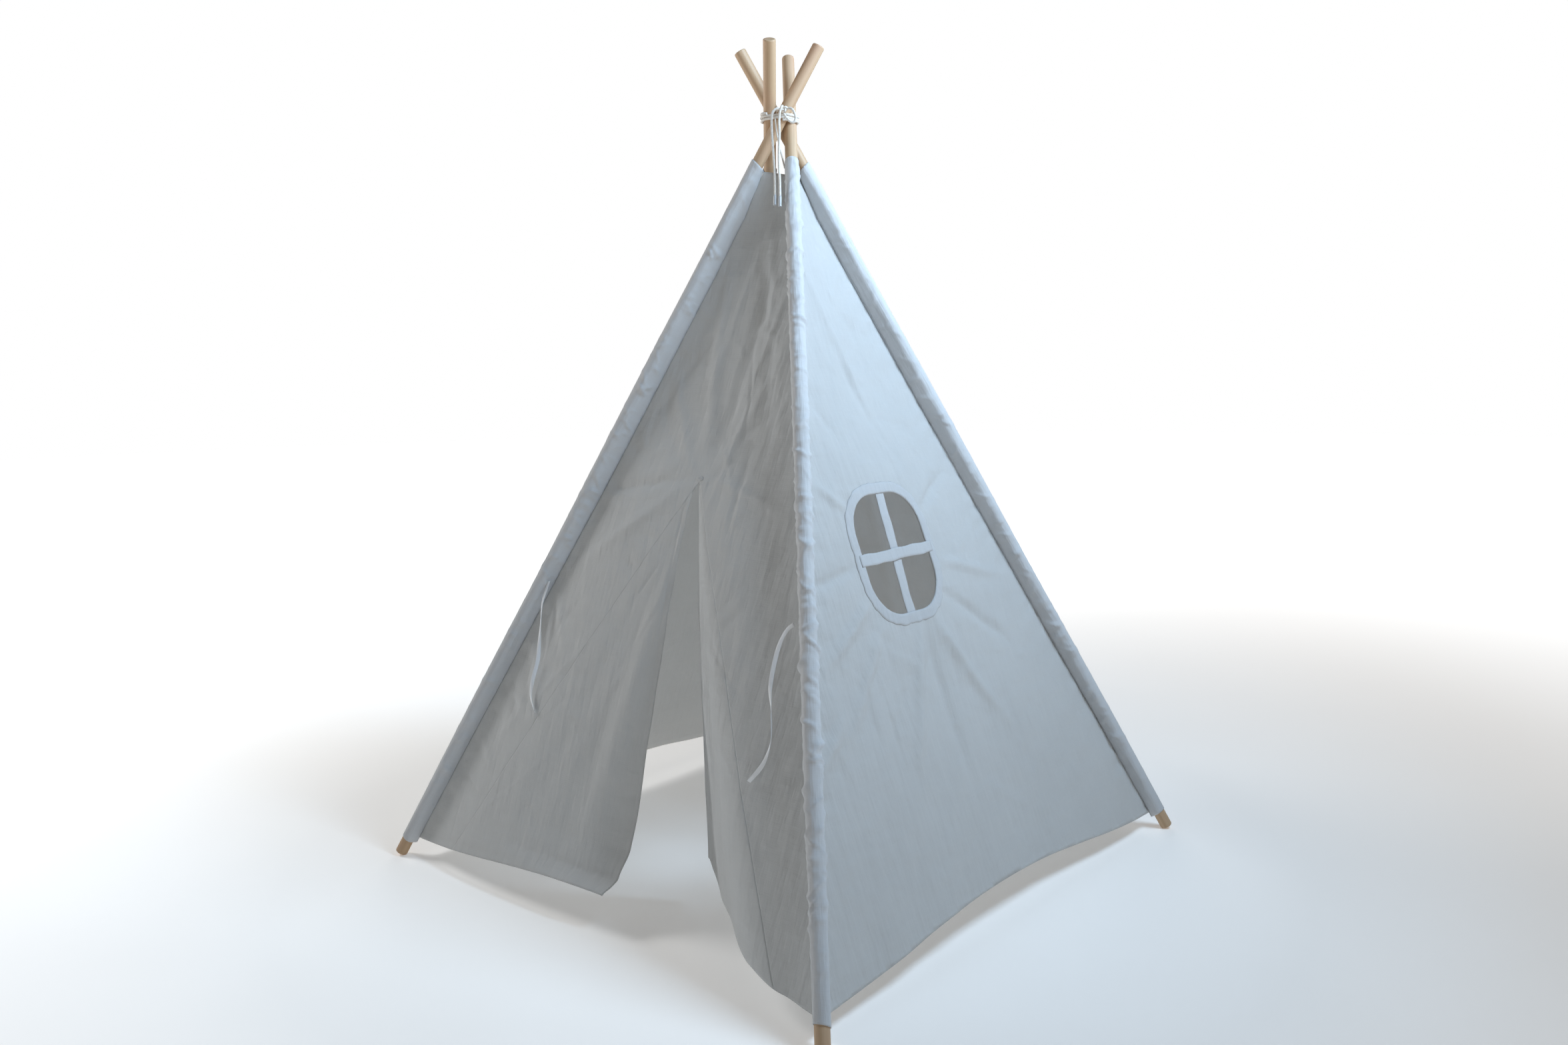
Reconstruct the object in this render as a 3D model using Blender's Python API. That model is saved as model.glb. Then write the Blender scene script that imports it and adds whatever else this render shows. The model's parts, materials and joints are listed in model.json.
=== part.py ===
"""A children's tent on four lashed wooden poles, modelled as its separate pieces.

Frame: metres, +Z up, origin on the floor below the pole crossing. The door faces -Y and the
window faces +X. Each pole leans in from one corner of a square and passes beside its
neighbours at the crossing, so the four poles lock in a spiral, held by a wrapped cord.
The back frame (two poles, back sheet) folds towards the front frame about the crossing, and
the two door flaps swing about slanted lines from the top of the slit to the hem.
"""

from math import atan2, cos, hypot, pi, radians, sin, sqrt

import bmesh
import bpy
from mathutils import Matrix, Vector

# --- Driving dimensions -------------------------------------------------------------------
POLE_D = 0.024
POLE_LENGTH = 1.80
POLE_EDGE = 0.0025  # eased edge at each pole end
FOOT_HALF = 0.565  # from the middle to a pole's axis on the floor, along X and along Y
CROSSING_H = 1.445  # height of the pole crossing
POLE_GAP = 0.0022  # between neighbouring poles at the crossing

CANVAS = 0.0014  # a sheet's thickness with its turned edges
SEAM_GAP = 0.0003  # between pieces that touch
SLEEVE_SLACK = 0.0004  # between a pole and the inside of its sleeve
SLEEVE_WALL = 0.0010
SLEEVE_FOOT = 0.036  # pole left bare below its sleeve
SLEEVE_DROP = 0.0945  # from the crossing down along the pole to its sleeve's top
SHEET_TOP_DROP = 0.014  # the sheets' top edge below the sleeves' tops
HEM_CLEAR = 0.004  # the hem's ends above the sleeves' lower ends
HEM_RISE = 0.036  # how far each hem arches up in its middle

SLIT_X = 0.020  # the door slit, to the right of the door's middle
SLIT_TOP = 0.832  # up the slope
FLAP_HINGE_X = 0.43  # where each flap's fold line meets the hem
FLAP_GAP = 0.00095  # clears the sheet through a flap's swing
LEFT_HANG = 12.0  # degrees that each flap hangs in from the door's plane
RIGHT_HANG = 36.0
TACK_SIZE = (0.016, 0.012)

WINDOW_CENTRE = (-0.052, 0.691)
WINDOW_SIZE = (0.196, 0.226)
WINDOW_CORNER = 0.072
BINDING_W = 0.019
BINDING_T = 0.0010
BAR_W = 0.023
BAR_LAP = 0.012  # how far the upright bar runs behind the sheet at each end

CORD_D = 0.0048
WRAP_TURNS = 3
WRAP_SPACE = 0.0008  # between one wrap and the next
WRAP_START = -0.003  # the first wrap's height from the crossing
WRAP_GAP = 0.0010  # between a wrap and the poles, so that its straight links clear them
WRAP_CLEAR_OF_KNOT = 0.35  # radians between the knot and each end of the wraps
SHORT_LINK = 1.3  # in cord diameters
LONG_LINK = 2.2
KNOT_SIZE = (0.0085, 0.0075, 0.0070)  # half sizes
KNOT_AZIMUTH = -52.0
KNOT_LIFT = 0.0050  # above the wrap that it sits on
KNOT_OUT = 0.0040  # out from that wrap
AGLET_D = 0.0062
AGLET_LENGTH = 0.021
AGLET_EDGE = 0.0006
RIBBON_D = 0.0040
RIBBON_TOP = 0.604  # up the door's slope
HANGER_D = 0.0030

# --- Derived values -----------------------------------------------------------------------
SLOPE = atan2(FOOT_HALF, CROSSING_H)  # each face's lean from upright
SLOPE_LENGTH = hypot(FOOT_HALF, CROSSING_H)
POLE_R = POLE_D / 2
AXIS_SPREAD = 1.33  # neighbouring axes pass this many crossing radii apart
CROSSING_R = (POLE_D + POLE_GAP) / AXIS_SPREAD  # from the middle to each pole's axis
SPIRAL = CROSSING_R * sqrt(0.5)
SLEEVE_R = POLE_R + SLEEVE_SLACK + SLEEVE_WALL
CORD_R = CORD_D / 2
WRAP_PITCH = CORD_D + WRAP_SPACE
HALF_CANVAS = CANVAS / 2

DOOR, WINDOW, BACK, SIDE = range(4)  # quarter turns from the door's face
CORNERS = {"front_left": -135, "front_right": -45, "back_right": 45, "back_left": 135}
BACK_CORNERS = ("back_left", "back_right")


# --- Materials ----------------------------------------------------------------------------
def material(name, colour, roughness):
    made = bpy.data.materials.new(name)
    made.use_nodes = True
    shader = made.node_tree.nodes["Principled BSDF"]
    shader.inputs["Base Color"].default_value = (*colour, 1.0)
    shader.inputs["Roughness"].default_value = roughness
    shader.inputs["Metallic"].default_value = 0.0
    return made


def start_scene():
    for old in list(bpy.data.objects):
        bpy.data.objects.remove(old, do_unlink=True)
    return {
        "pine": material("pine", (0.76, 0.60, 0.42), 0.55),
        "canvas": material("canvas", (0.86, 0.87, 0.88), 0.9),
        "tape": material("tape", (0.90, 0.91, 0.92), 0.85),
        "cord": material("cord", (0.85, 0.84, 0.81), 0.85),
        "plastic": material("plastic", (0.62, 0.63, 0.63), 0.3),
    }


def add_object(name, mesh_data, surface, location=(0, 0, 0), parent=None):
    """Make the object; the mesh is in world coordinates, and its origin goes to location."""
    mesh = bpy.data.meshes.new(name)
    mesh_data.to_mesh(mesh)
    mesh_data.free()
    mesh.transform(Matrix.Translation(-Vector(location)))
    mesh.materials.append(surface)
    made = bpy.data.objects.new(name, mesh)
    bpy.context.scene.collection.objects.link(made)
    made.location = location
    attach(made, parent)
    return made


def attach(child, parent):
    if parent is not None:
        child.parent = parent
        child.matrix_parent_inverse = Matrix.Translation(parent.location).inverted()


def add_empty(name, location):
    made = bpy.data.objects.new(name, None)
    made.location = location
    bpy.context.scene.collection.objects.link(made)
    return made


# --- The pole lines and the four faces ----------------------------------------------------
def pole_line(corner):
    """The pole's axis: its point on the floor and its direction up."""
    azimuth = radians(CORNERS[corner])
    along = Vector((cos(azimuth), sin(azimuth), 0))
    across = Vector((-sin(azimuth), cos(azimuth), 0))
    floor = along * FOOT_HALF * sqrt(2)
    crossing = across * CROSSING_R + Vector((0, 0, CROSSING_H))
    return floor, (crossing - floor).normalized()


def foot_end(corner):
    """The middle of the pole's lower end, whose lowest edge is on the floor."""
    floor, up = pole_line(corner)
    lift = (POLE_R - POLE_EDGE) * sqrt(1 - up.z**2)
    return floor + up * (lift / up.z), up


def on_face(face, across, slope, out=0.0):
    """A point on a face: across to the right, up its slope, and out from its plane."""
    point = Vector(
        (
            across,
            -FOOT_HALF + slope * sin(SLOPE) - out * cos(SLOPE),
            slope * cos(SLOPE) + out * sin(SLOPE),
        )
    )
    return Matrix.Rotation(face * pi / 2, 4, "Z") @ point


def sheet_edge(side, slope):
    """Where a sheet meets its sleeve: side -1 is the left pole and +1 the right pole."""
    reach = FOOT_HALF - side * SPIRAL
    rise = SLOPE_LENGTH + side * SPIRAL * sin(SLOPE)
    tilt = reach / sqrt(reach**2 + (FOOT_HALF + side * SPIRAL) ** 2 + CROSSING_H**2)
    clear = (SLEEVE_R + SEAM_GAP) / sqrt(1 - tilt**2)
    return side * (FOOT_HALF - slope / rise * reach - clear)


def slope_at(distance):
    """Height up a face of a point that far along a pole from its lower end."""
    foot, up = foot_end("front_left")
    return (foot + up * distance).z / cos(SLOPE)


def sleeve_length():
    """From the bare foot up to the drop below the crossing."""
    foot, up = foot_end("front_left")
    return (CROSSING_H - foot.z) / up.z - SLEEVE_DROP - SLEEVE_FOOT


SLEEVE_LENGTH = sleeve_length()
SLEEVE_LOW = slope_at(SLEEVE_FOOT)
SLEEVE_HIGH = slope_at(SLEEVE_FOOT + SLEEVE_LENGTH)
HEM_LOW = SLEEVE_LOW + HEM_CLEAR
SHEET_TOP = SLEEVE_HIGH - SHEET_TOP_DROP


def hem(across):
    """The hem's arch: level where it meets the sleeves and in its middle."""
    return HEM_LOW + HEM_RISE * cos(pi / 2 * across / FOOT_HALF) ** 2


def hem_points(start, stop, steps=14):
    spread = [start + (stop - start) * i / steps for i in range(steps + 1)]
    return [(x, hem(x)) for x in spread]


# --- Solid builders -----------------------------------------------------------------------
def face_outwards(mesh):
    """Give every face of a closed solid its outward side, also on the thinnest sheets."""
    bmesh.ops.recalc_face_normals(mesh, faces=mesh.faces[:])
    if mesh.calc_volume(signed=True) < 0:
        bmesh.ops.reverse_faces(mesh, faces=mesh.faces[:])
    return mesh


def loop_edges(mesh, points):
    verts = [mesh.verts.new((x, y, 0)) for x, y in points]
    return [mesh.edges.new((verts[i - 1], verts[i])) for i in range(len(verts))]


def slab(outline, thickness, hole=None):
    """A closed flat solid in the XY plane, centred on z = 0, with an optional hole."""
    mesh = bmesh.new()
    edges = loop_edges(mesh, outline)
    if hole:
        edges += loop_edges(mesh, hole)
    bmesh.ops.triangle_fill(mesh, use_beauty=True, edges=edges, normal=(0, 0, 1))
    raised = bmesh.ops.extrude_face_region(mesh, geom=mesh.faces[:])["geom"]
    moved = [v for v in raised if isinstance(v, bmesh.types.BMVert)]
    bmesh.ops.translate(mesh, verts=moved, vec=(0, 0, thickness))
    bmesh.ops.translate(mesh, verts=mesh.verts[:], vec=(0, 0, -thickness / 2))
    return face_outwards(mesh)


def place_on_face(mesh, face, out=0.0):
    """Turn flat (across, slope, out) coordinates into the world."""
    for vert in mesh.verts:
        vert.co = on_face(face, vert.co.x, vert.co.y, out + vert.co.z)
    return mesh


def face_sheet(outline, face, thickness=CANVAS, out=0.0, hole=None):
    return place_on_face(slab(outline, thickness, hole), face, out)


def rod(radius, length, edge, sides=40, rounds=3):
    """A round rod along +Z from the origin, with rounded end edges."""
    profile = [(0.0, 0.0)]
    for end, turn in ((edge, 1), (length - edge, -1)):
        for i in range(rounds + 1):
            step = pi / 2 * i / rounds
            swing = (sin(step), cos(step)) if turn == 1 else (cos(step), sin(step))
            profile.append((radius - edge + edge * swing[0], end - turn * edge * swing[1]))
    profile.append((0.0, length))
    return turned(profile, sides)


def turned(profile, sides):
    """A solid of revolution about Z; the profile starts and ends on the axis or closes."""
    mesh = bmesh.new()
    closed = profile[0][0] > 0
    rings = []
    for r, z in profile:
        if r == 0:
            rings.append([mesh.verts.new((0, 0, z))])
            continue
        turns = [2 * pi * k / sides for k in range(sides)]
        rings.append([mesh.verts.new((r * cos(a), r * sin(a), z)) for a in turns])
    pairs = list(zip(rings, rings[1:], strict=False))
    if closed:
        pairs.append((rings[-1], rings[0]))
    for low, high in pairs:
        for k in range(sides):
            n = (k + 1) % sides
            if len(low) == 1:
                mesh.faces.new((low[0], high[n], high[k]))
            elif len(high) == 1:
                mesh.faces.new((low[k], low[n], high[0]))
            else:
                mesh.faces.new((low[k], low[n], high[n], high[k]))
    return face_outwards(mesh)


def aim(mesh, start, direction):
    """Stand a +Z solid on start, along direction."""
    turn = direction.to_track_quat("Z", "Y").to_matrix().to_4x4()
    bmesh.ops.transform(mesh, matrix=Matrix.Translation(start) @ turn, verts=mesh.verts[:])
    return mesh


def smooth(made):
    made.data.shade_smooth()
    made.data.set_sharp_from_angle(angle=radians(40))


def smooth_route(points, step):
    """Points about a step apart on a smooth curve (Catmull-Rom) through the route."""
    knots = [points[0], *points, points[-1]]
    found = [points[0]]
    for a, b, c, d in zip(knots, knots[1:], knots[2:], knots[3:], strict=False):
        count = max(1, round((c - b).length / step))
        for i in range(1, count + 1):
            t = i / count
            found.append(
                0.5
                * (
                    2 * b
                    + (c - a) * t
                    + (2 * a - 5 * b + 4 * c - d) * t * t
                    + (3 * b - 3 * c + d - a) * t**3
                )
            )
    return found


def add_cord(name, points, diameter, surface, parent=None):
    """A capped round tube along the points."""
    curve = bpy.data.curves.new(name, "CURVE")
    curve.dimensions = "3D"
    curve.bevel_depth = diameter / 2
    curve.bevel_resolution = 2
    curve.use_fill_caps = True
    line = curve.splines.new("POLY")
    line.points.add(len(points) - 1)
    for point, place in zip(line.points, points, strict=True):
        point.co = (*place, 1.0)
    curve.materials.append(surface)
    made = bpy.data.objects.new(name, curve)
    bpy.context.scene.collection.objects.link(made)
    attach(made, parent)
    return made


# --- Poles and sleeves --------------------------------------------------------------------
def add_pole(corner, surfaces, parent):
    foot, up = foot_end(corner)
    mesh = aim(rod(POLE_R, POLE_LENGTH, POLE_EDGE), foot, up)
    smooth(add_object("pole_" + corner, mesh, surfaces["pine"], parent=parent))


def add_sleeve(corner, surfaces, parent):
    foot, up = foot_end(corner)
    inner = POLE_R + SLEEVE_SLACK
    profile = [
        (SLEEVE_R, 0),
        (SLEEVE_R, SLEEVE_LENGTH),
        (inner, SLEEVE_LENGTH),
        (inner, 0),
    ]
    mesh = aim(turned(profile, 32), foot + up * SLEEVE_FOOT, up)
    smooth(add_object("sleeve_" + corner, mesh, surfaces["canvas"], parent=parent))


# --- Sheets -------------------------------------------------------------------------------
def sheet_sides():
    """The plain sheet's four corners: lower left, lower right, upper right, upper left."""
    low_l, low_r = sheet_edge(-1, HEM_LOW), sheet_edge(1, HEM_LOW)
    top_l, top_r = sheet_edge(-1, SHEET_TOP), sheet_edge(1, SHEET_TOP)
    return low_l, low_r, top_r, top_l


def plain_sheet():
    low_l, low_r, top_r, top_l = sheet_sides()
    return [*hem_points(low_l, low_r, 24), (top_r, SHEET_TOP), (top_l, SHEET_TOP)]


def door_sheet():
    """The door's sheet without its two flaps: one piece above the fold lines."""
    low_l, low_r, top_r, top_l = sheet_sides()
    left = [*hem_points(low_l, SLIT_X - FLAP_HINGE_X, 6), (SLIT_X, SLIT_TOP)]
    right = hem_points(SLIT_X + FLAP_HINGE_X, low_r, 6)
    return [*left, *right, (top_r, SHEET_TOP), (top_l, SHEET_TOP)]


def fold_line(side):
    """A flap's fold line in the door's plane: its top and its lower end at the hem."""
    low = SLIT_X + side * FLAP_HINGE_X
    return Vector((SLIT_X, SLIT_TOP)), Vector((low, hem(low)))


def flap_outline(side):
    """A flap in the door's plane, inside its fold line and the slit by the flap gap."""
    top, low = fold_line(side)
    down = (low - top).normalized()
    inward = Vector((-down.y, down.x)) * -side
    corner = SLIT_X + side * FLAP_GAP
    start = top + inward * FLAP_GAP
    reach = (corner - start.x) / down.x
    tip = start + down * max(reach, 4 * FLAP_GAP)
    base = low + inward * FLAP_GAP
    edge = [(x, y) for x, y in hem_points(base.x, corner, 14)]
    return [(base.x, base.y), *edge[1:], (corner, tip.y), (tip.x, tip.y)]


def add_flap(name, side, hang, surfaces):
    """A door flap, hanging in about its fold line, with its origin on that line."""
    top, low = fold_line(side)
    pivot = on_face(DOOR, top.x, top.y)
    line = (pivot - on_face(DOOR, low.x, low.y)).normalized()
    mesh = face_sheet(flap_outline(side), DOOR)
    turn = Matrix.Rotation(radians(-side * hang), 4, line)
    bmesh.ops.rotate(mesh, cent=pivot, matrix=turn, verts=mesh.verts[:])
    add_object(name, mesh, surfaces["canvas"], location=pivot)


# --- Window -------------------------------------------------------------------------------
def rounded(width, height, corner, steps=7):
    """A rectangle with round corners about the window's centre."""
    found = []
    for quarter, (sx, sy) in enumerate(((1, 1), (-1, 1), (-1, -1), (1, -1))):
        x, y = sx * (width / 2 - corner), sy * (height / 2 - corner)
        for i in range(steps + 1):
            turn = pi / 2 * (quarter + i / steps)
            found.append((x + corner * cos(turn), y + corner * sin(turn)))
    return [(x + WINDOW_CENTRE[0], y + WINDOW_CENTRE[1]) for x, y in found]


def rectangle(width, height, centre):
    x, y = width / 2, height / 2
    return [(centre[0] + a, centre[1] + b) for a, b in ((-x, -y), (x, -y), (x, y), (-x, y))]


def add_window(surfaces, parent):
    width, height = WINDOW_SIZE
    opening = rounded(width, height, WINDOW_CORNER)
    sheet = face_sheet(plain_sheet(), WINDOW, hole=opening)
    add_object("window_sheet", sheet, surfaces["canvas"], parent=parent)

    outer = rounded(width + 2 * BINDING_W, height + 2 * BINDING_W, WINDOW_CORNER + BINDING_W)
    proud = HALF_CANVAS + SEAM_GAP + BINDING_T / 2
    ring = face_sheet(outer, WINDOW, BINDING_T, proud, hole=opening)
    add_object("window_binding", ring, surfaces["tape"], parent=parent)

    level = rectangle(width - 2 * SEAM_GAP, BAR_W, WINDOW_CENTRE)
    bar = face_sheet(level, WINDOW)
    add_object("window_bar_level", bar, surfaces["tape"], parent=parent)

    upright = rectangle(BAR_W, height + 2 * BAR_LAP, WINDOW_CENTRE)
    bar = face_sheet(upright, WINDOW, BINDING_T, -proud)
    add_object("window_bar_upright", bar, surfaces["tape"], parent=parent)


# --- Lashing ------------------------------------------------------------------------------
def wrap_point(turn, height):
    """A point of a taut wrap round the four poles, at an angle and a height from the crossing."""
    facing = Vector((cos(turn), sin(turn), 0))
    best = None
    for corner in CORNERS:
        floor, up = pole_line(corner)
        middle = floor + up * ((CROSSING_H + height) / up.z)
        lean = atan2(up.y, up.x)
        near = POLE_R + CORD_R + WRAP_GAP
        far = near / up.z
        a, b = cos(turn - lean), sin(turn - lean)
        support = sqrt((far * a) ** 2 + (near * b) ** 2)
        x, y = far**2 * a / support, near**2 * b / support
        offset = Vector((x * cos(lean) - y * sin(lean), x * sin(lean) + y * cos(lean), 0))
        reach = middle.xy.dot(facing.xy) + support
        if best is None or reach > best[0]:
            best = (reach, middle + offset)
    return best[1]


def wrap_route():
    """The wraps' centreline: short links round the poles and longer ones between them."""
    steps = 60 * WRAP_TURNS
    start = radians(KNOT_AZIMUTH) + WRAP_CLEAR_OF_KNOT
    length = 2 * pi * WRAP_TURNS - 2 * WRAP_CLEAR_OF_KNOT
    turns = [length * i / steps for i in range(steps + 1)]
    route = [wrap_point(start + t, WRAP_START + WRAP_PITCH * t / (2 * pi)) for t in turns]
    spaced = [route[0]]
    for point in route[1:]:
        gap = (point - spaced[-1]).length
        if gap > LONG_LINK * CORD_D:
            count = int(gap / (LONG_LINK * CORD_D)) + 1
            spaced += [spaced[-1].lerp(point, i / count) for i in range(1, count + 1)]
        elif gap > SHORT_LINK * CORD_D:
            spaced.append(point)
    return spaced


def knot_centre():
    height = WRAP_START + WRAP_PITCH * (WRAP_TURNS - 1) + CORD_R + KNOT_LIFT
    wrap = wrap_point(radians(KNOT_AZIMUTH), height)
    out = Vector((cos(radians(KNOT_AZIMUTH)), sin(radians(KNOT_AZIMUTH)), 0))
    return wrap + out * (CORD_R + KNOT_OUT)


def add_knot(surfaces):
    mesh = bmesh.new()
    bmesh.ops.create_uvsphere(mesh, u_segments=16, v_segments=10, radius=1.0)
    turn = Matrix.Rotation(radians(KNOT_AZIMUTH + 90), 4, "Z")
    shape = Matrix.LocRotScale(knot_centre(), turn.to_quaternion(), Vector(KNOT_SIZE))
    bmesh.ops.transform(mesh, matrix=shape, verts=mesh.verts[:])
    smooth(add_object("lashing_knot", mesh, surfaces["cord"]))


def knot_route(points):
    """Points right, out and up from the knot's middle, as world points."""
    azimuth = radians(KNOT_AZIMUTH)
    out = Vector((cos(azimuth), sin(azimuth), 0))
    right = Vector((-sin(azimuth), cos(azimuth), 0))
    up = Vector((0, 0, 1))
    middle = knot_centre()
    return [middle + right * x + out * y + up * z for x, y, z in points]


LOOP_ROUTE = (
    (0.0092, 0.0010, 0.0010),
    (0.0150, 0.0035, -0.0005),
    (0.0200, 0.0050, -0.0080),
    (0.0222, 0.0055, -0.0170),
    (0.0200, 0.0055, -0.0245),
    (0.0150, 0.0058, -0.0255),
    (0.0085, 0.0062, -0.0205),
    (0.0030, 0.0060, -0.0140),
    (0.0005, 0.0045, -0.0098),
)
LEFT_TAIL_ROUTE = (
    (-0.0088, 0.0005, 0.0010),
    (-0.0150, 0.0025, 0.0000),
    (-0.0215, 0.0045, -0.0070),
    (-0.0230, 0.0065, -0.0200),
    (-0.0225, 0.0100, -0.0450),
    (-0.0205, 0.0155, -0.0750),
    (-0.0180, 0.0245, -0.1050),
    (-0.0165, 0.0340, -0.1350),
    (-0.0160, 0.0430, -0.1630),
)
RIGHT_TAIL_ROUTE = (
    (-0.0020, 0.0085, 0.0040),
    (-0.0040, 0.0118, 0.0010),
    (-0.0070, 0.0125, -0.0080),
    (-0.0085, 0.0130, -0.0250),
    (-0.0080, 0.0160, -0.0500),
    (-0.0090, 0.0215, -0.0800),
    (-0.0085, 0.0310, -0.1120),
    (-0.0070, 0.0400, -0.1400),
    (-0.0065, 0.0480, -0.1660),
)


def add_lashing(surfaces):
    add_cord("lashing_wraps", wrap_route(), CORD_D, surfaces["cord"])
    add_knot(surfaces)


def add_bow(surfaces):
    """The bow's loop and its two hanging tails, each with a tip."""
    cord = surfaces["cord"]
    step = 2.2 * CORD_D
    add_cord("lashing_loop", smooth_route(knot_route(LOOP_ROUTE), step / 2), CORD_D, cord)
    for side, route in (("left", LEFT_TAIL_ROUTE), ("right", RIGHT_TAIL_ROUTE)):
        points = smooth_route(knot_route(route), step)
        add_cord("lashing_tail_" + side, points, CORD_D, cord)
        down = (points[-1] - points[-2]).normalized()
        start = points[-1] + down * SEAM_GAP
        tip = aim(rod(AGLET_D / 2, AGLET_LENGTH, AGLET_EDGE, 16, 1), start, down)
        smooth(add_object("lashing_tip_" + side, tip, surfaces["plastic"]))


# --- The hanger cord and the tie ribbons --------------------------------------------------
HANGER_ROUTE = (
    (0.0160, -0.0312, -0.0008),
    (0.0176, -0.0320, -0.0120),
    (0.0196, -0.0315, -0.0260),
    (0.0222, -0.0300, -0.0420),
    (0.0258, -0.0282, -0.0600),
    (0.0300, -0.0268, -0.0780),
    (0.0336, -0.0258, -0.0930),
)


def add_hanger(surfaces):
    """The thin cord from under the wraps to the top of the front right sleeve."""
    crossing = Vector((0, 0, CROSSING_H))
    points = smooth_route([crossing + Vector(place) for place in HANGER_ROUTE], 2.6 * HANGER_D)
    add_cord("hanger_cord", points, HANGER_D, surfaces["cord"])


RIBBON_OUT = HALF_CANVAS + RIBBON_D / 2 + SEAM_GAP
LEFT_RIBBON_ROUTE = (
    (0.0045, 0.000, 0.0000),
    (0.0055, -0.020, 0.0020),
    (0.0080, -0.045, 0.0045),
    (0.0180, -0.080, 0.0050),
    (0.0290, -0.119, 0.0040),
    (0.0390, -0.156, 0.0035),
    (0.0430, -0.195, 0.0050),
    (0.0480, -0.226, 0.0045),
    (0.0700, -0.252, 0.0025),
)
RIGHT_RIBBON_ROUTE = (
    (0.0080, 0.000, 0.0000),
    (0.0170, -0.010, 0.0025),
    (0.0230, -0.030, 0.0050),
    (0.0250, -0.057, 0.0060),
    (0.0230, -0.106, 0.0050),
    (0.0090, -0.147, 0.0040),
    (-0.0040, -0.190, 0.0045),
    (0.0010, -0.229, 0.0040),
    (0.0230, -0.262, 0.0025),
)


def ribbon_route(side, route):
    """Points in from the sheet's side and down from the ribbon's top, as world points."""
    edge = sheet_edge(side, RIBBON_TOP)
    return [
        on_face(DOOR, edge - side * inward, RIBBON_TOP + down, RIBBON_OUT + out)
        for inward, down, out in route
    ]


def add_ribbons(surfaces):
    routes = ((-1, "left", LEFT_RIBBON_ROUTE), (1, "right", RIGHT_RIBBON_ROUTE))
    for side, name, route in routes:
        points = smooth_route(ribbon_route(side, route), 2.6 * RIBBON_D)
        add_cord("tie_ribbon_" + name, points, RIBBON_D, surfaces["tape"])


def add_tack(surfaces):
    """The stitched patch that stops the slit from tearing."""
    out = HALF_CANVAS + SEAM_GAP + BINDING_T / 2
    centre = (SLIT_X, SLIT_TOP + TACK_SIZE[1] / 2 + 2 * FLAP_GAP)
    mesh = face_sheet(rectangle(*TACK_SIZE, centre), DOOR, BINDING_T, out)
    add_object("slit_tack", mesh, surfaces["tape"])


# --- The whole tent -----------------------------------------------------------------------
def build():
    surfaces = start_scene()
    back_hinge = add_empty("back_frame_hinge", (0, 0, CROSSING_H))
    bpy.context.view_layer.update()
    for corner in CORNERS:
        parent = back_hinge if corner in BACK_CORNERS else None
        add_pole(corner, surfaces, parent)
        add_sleeve(corner, surfaces, parent)
    add_object("door_sheet", face_sheet(door_sheet(), DOOR), surfaces["canvas"])
    add_flap("door_flap_left", -1, LEFT_HANG, surfaces)
    add_flap("door_flap_right", 1, RIGHT_HANG, surfaces)
    add_tack(surfaces)
    for name, face, parent in (("back_sheet", BACK, back_hinge), ("side_sheet", SIDE, None)):
        add_object(name, face_sheet(plain_sheet(), face), surfaces["canvas"], parent=parent)
    add_window(surfaces, back_hinge)
    add_lashing(surfaces)
    add_bow(surfaces)
    add_hanger(surfaces)
    add_ribbons(surfaces)


build()
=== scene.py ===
"""The looks of a children's tent on four lashed poles: canvas, tape, wood and cord.

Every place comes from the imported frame. Each face of the tent has coordinates of its own: x
across it to the right, s up its slope from the floor, and w out from the plane through its two
pole axes. The cloth is a relief w(x, s), with the folds, creases and puckers of each face.
"""

import json
from functools import partial
from math import atan2, cos, hypot, pi, radians, sin, sqrt

import bmesh
import bpy
import numpy as np
from mathutils import Matrix, Vector
from mathutils.geometry import delaunay_2d_cdt


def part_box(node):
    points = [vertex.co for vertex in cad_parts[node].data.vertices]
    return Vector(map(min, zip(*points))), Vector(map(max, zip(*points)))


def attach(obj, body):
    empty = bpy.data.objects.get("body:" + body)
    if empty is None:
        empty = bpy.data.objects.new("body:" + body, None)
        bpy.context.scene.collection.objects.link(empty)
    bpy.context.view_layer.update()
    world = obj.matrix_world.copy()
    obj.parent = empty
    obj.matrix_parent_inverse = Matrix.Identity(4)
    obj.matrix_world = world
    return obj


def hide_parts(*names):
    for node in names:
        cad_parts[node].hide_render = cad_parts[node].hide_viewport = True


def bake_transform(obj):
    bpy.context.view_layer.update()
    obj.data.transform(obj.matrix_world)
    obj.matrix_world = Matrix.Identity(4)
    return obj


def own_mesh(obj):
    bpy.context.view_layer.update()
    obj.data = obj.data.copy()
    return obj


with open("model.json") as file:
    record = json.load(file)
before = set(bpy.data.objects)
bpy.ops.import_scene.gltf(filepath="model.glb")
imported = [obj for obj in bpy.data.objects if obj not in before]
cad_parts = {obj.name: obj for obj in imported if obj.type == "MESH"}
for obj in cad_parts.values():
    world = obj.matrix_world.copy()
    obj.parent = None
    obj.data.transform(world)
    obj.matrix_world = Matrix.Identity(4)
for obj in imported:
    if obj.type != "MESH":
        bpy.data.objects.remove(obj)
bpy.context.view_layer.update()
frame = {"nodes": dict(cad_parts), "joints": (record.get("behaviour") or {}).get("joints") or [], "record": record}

# --- What the frame says ---
DOOR, WINDOW, BACK, SIDE = range(4)  # quarter turns from the door's face
CORNERS = ("front_left", "front_right", "back_right", "back_left")
FRONT, REAR = "front_frame", "back_frame"
mounts = {m["name"]: m for m in frame["record"]["mounts"]}
joints = {j["name"]: j for j in frame["joints"]}
CROSSING = np.array(joints["frame_fold"]["pos_m"])


def pole_axis(corner):
    """A pole's axis: the middle of its lower end and its direction up."""
    foot = mounts["foot_" + corner]
    return np.array(foot["pos_m"]), -np.array(foot["axis"])


def axis_at_height(corner, height):
    foot, up = pole_axis(corner)
    return foot + up * ((height - foot[2]) / up[2])


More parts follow.
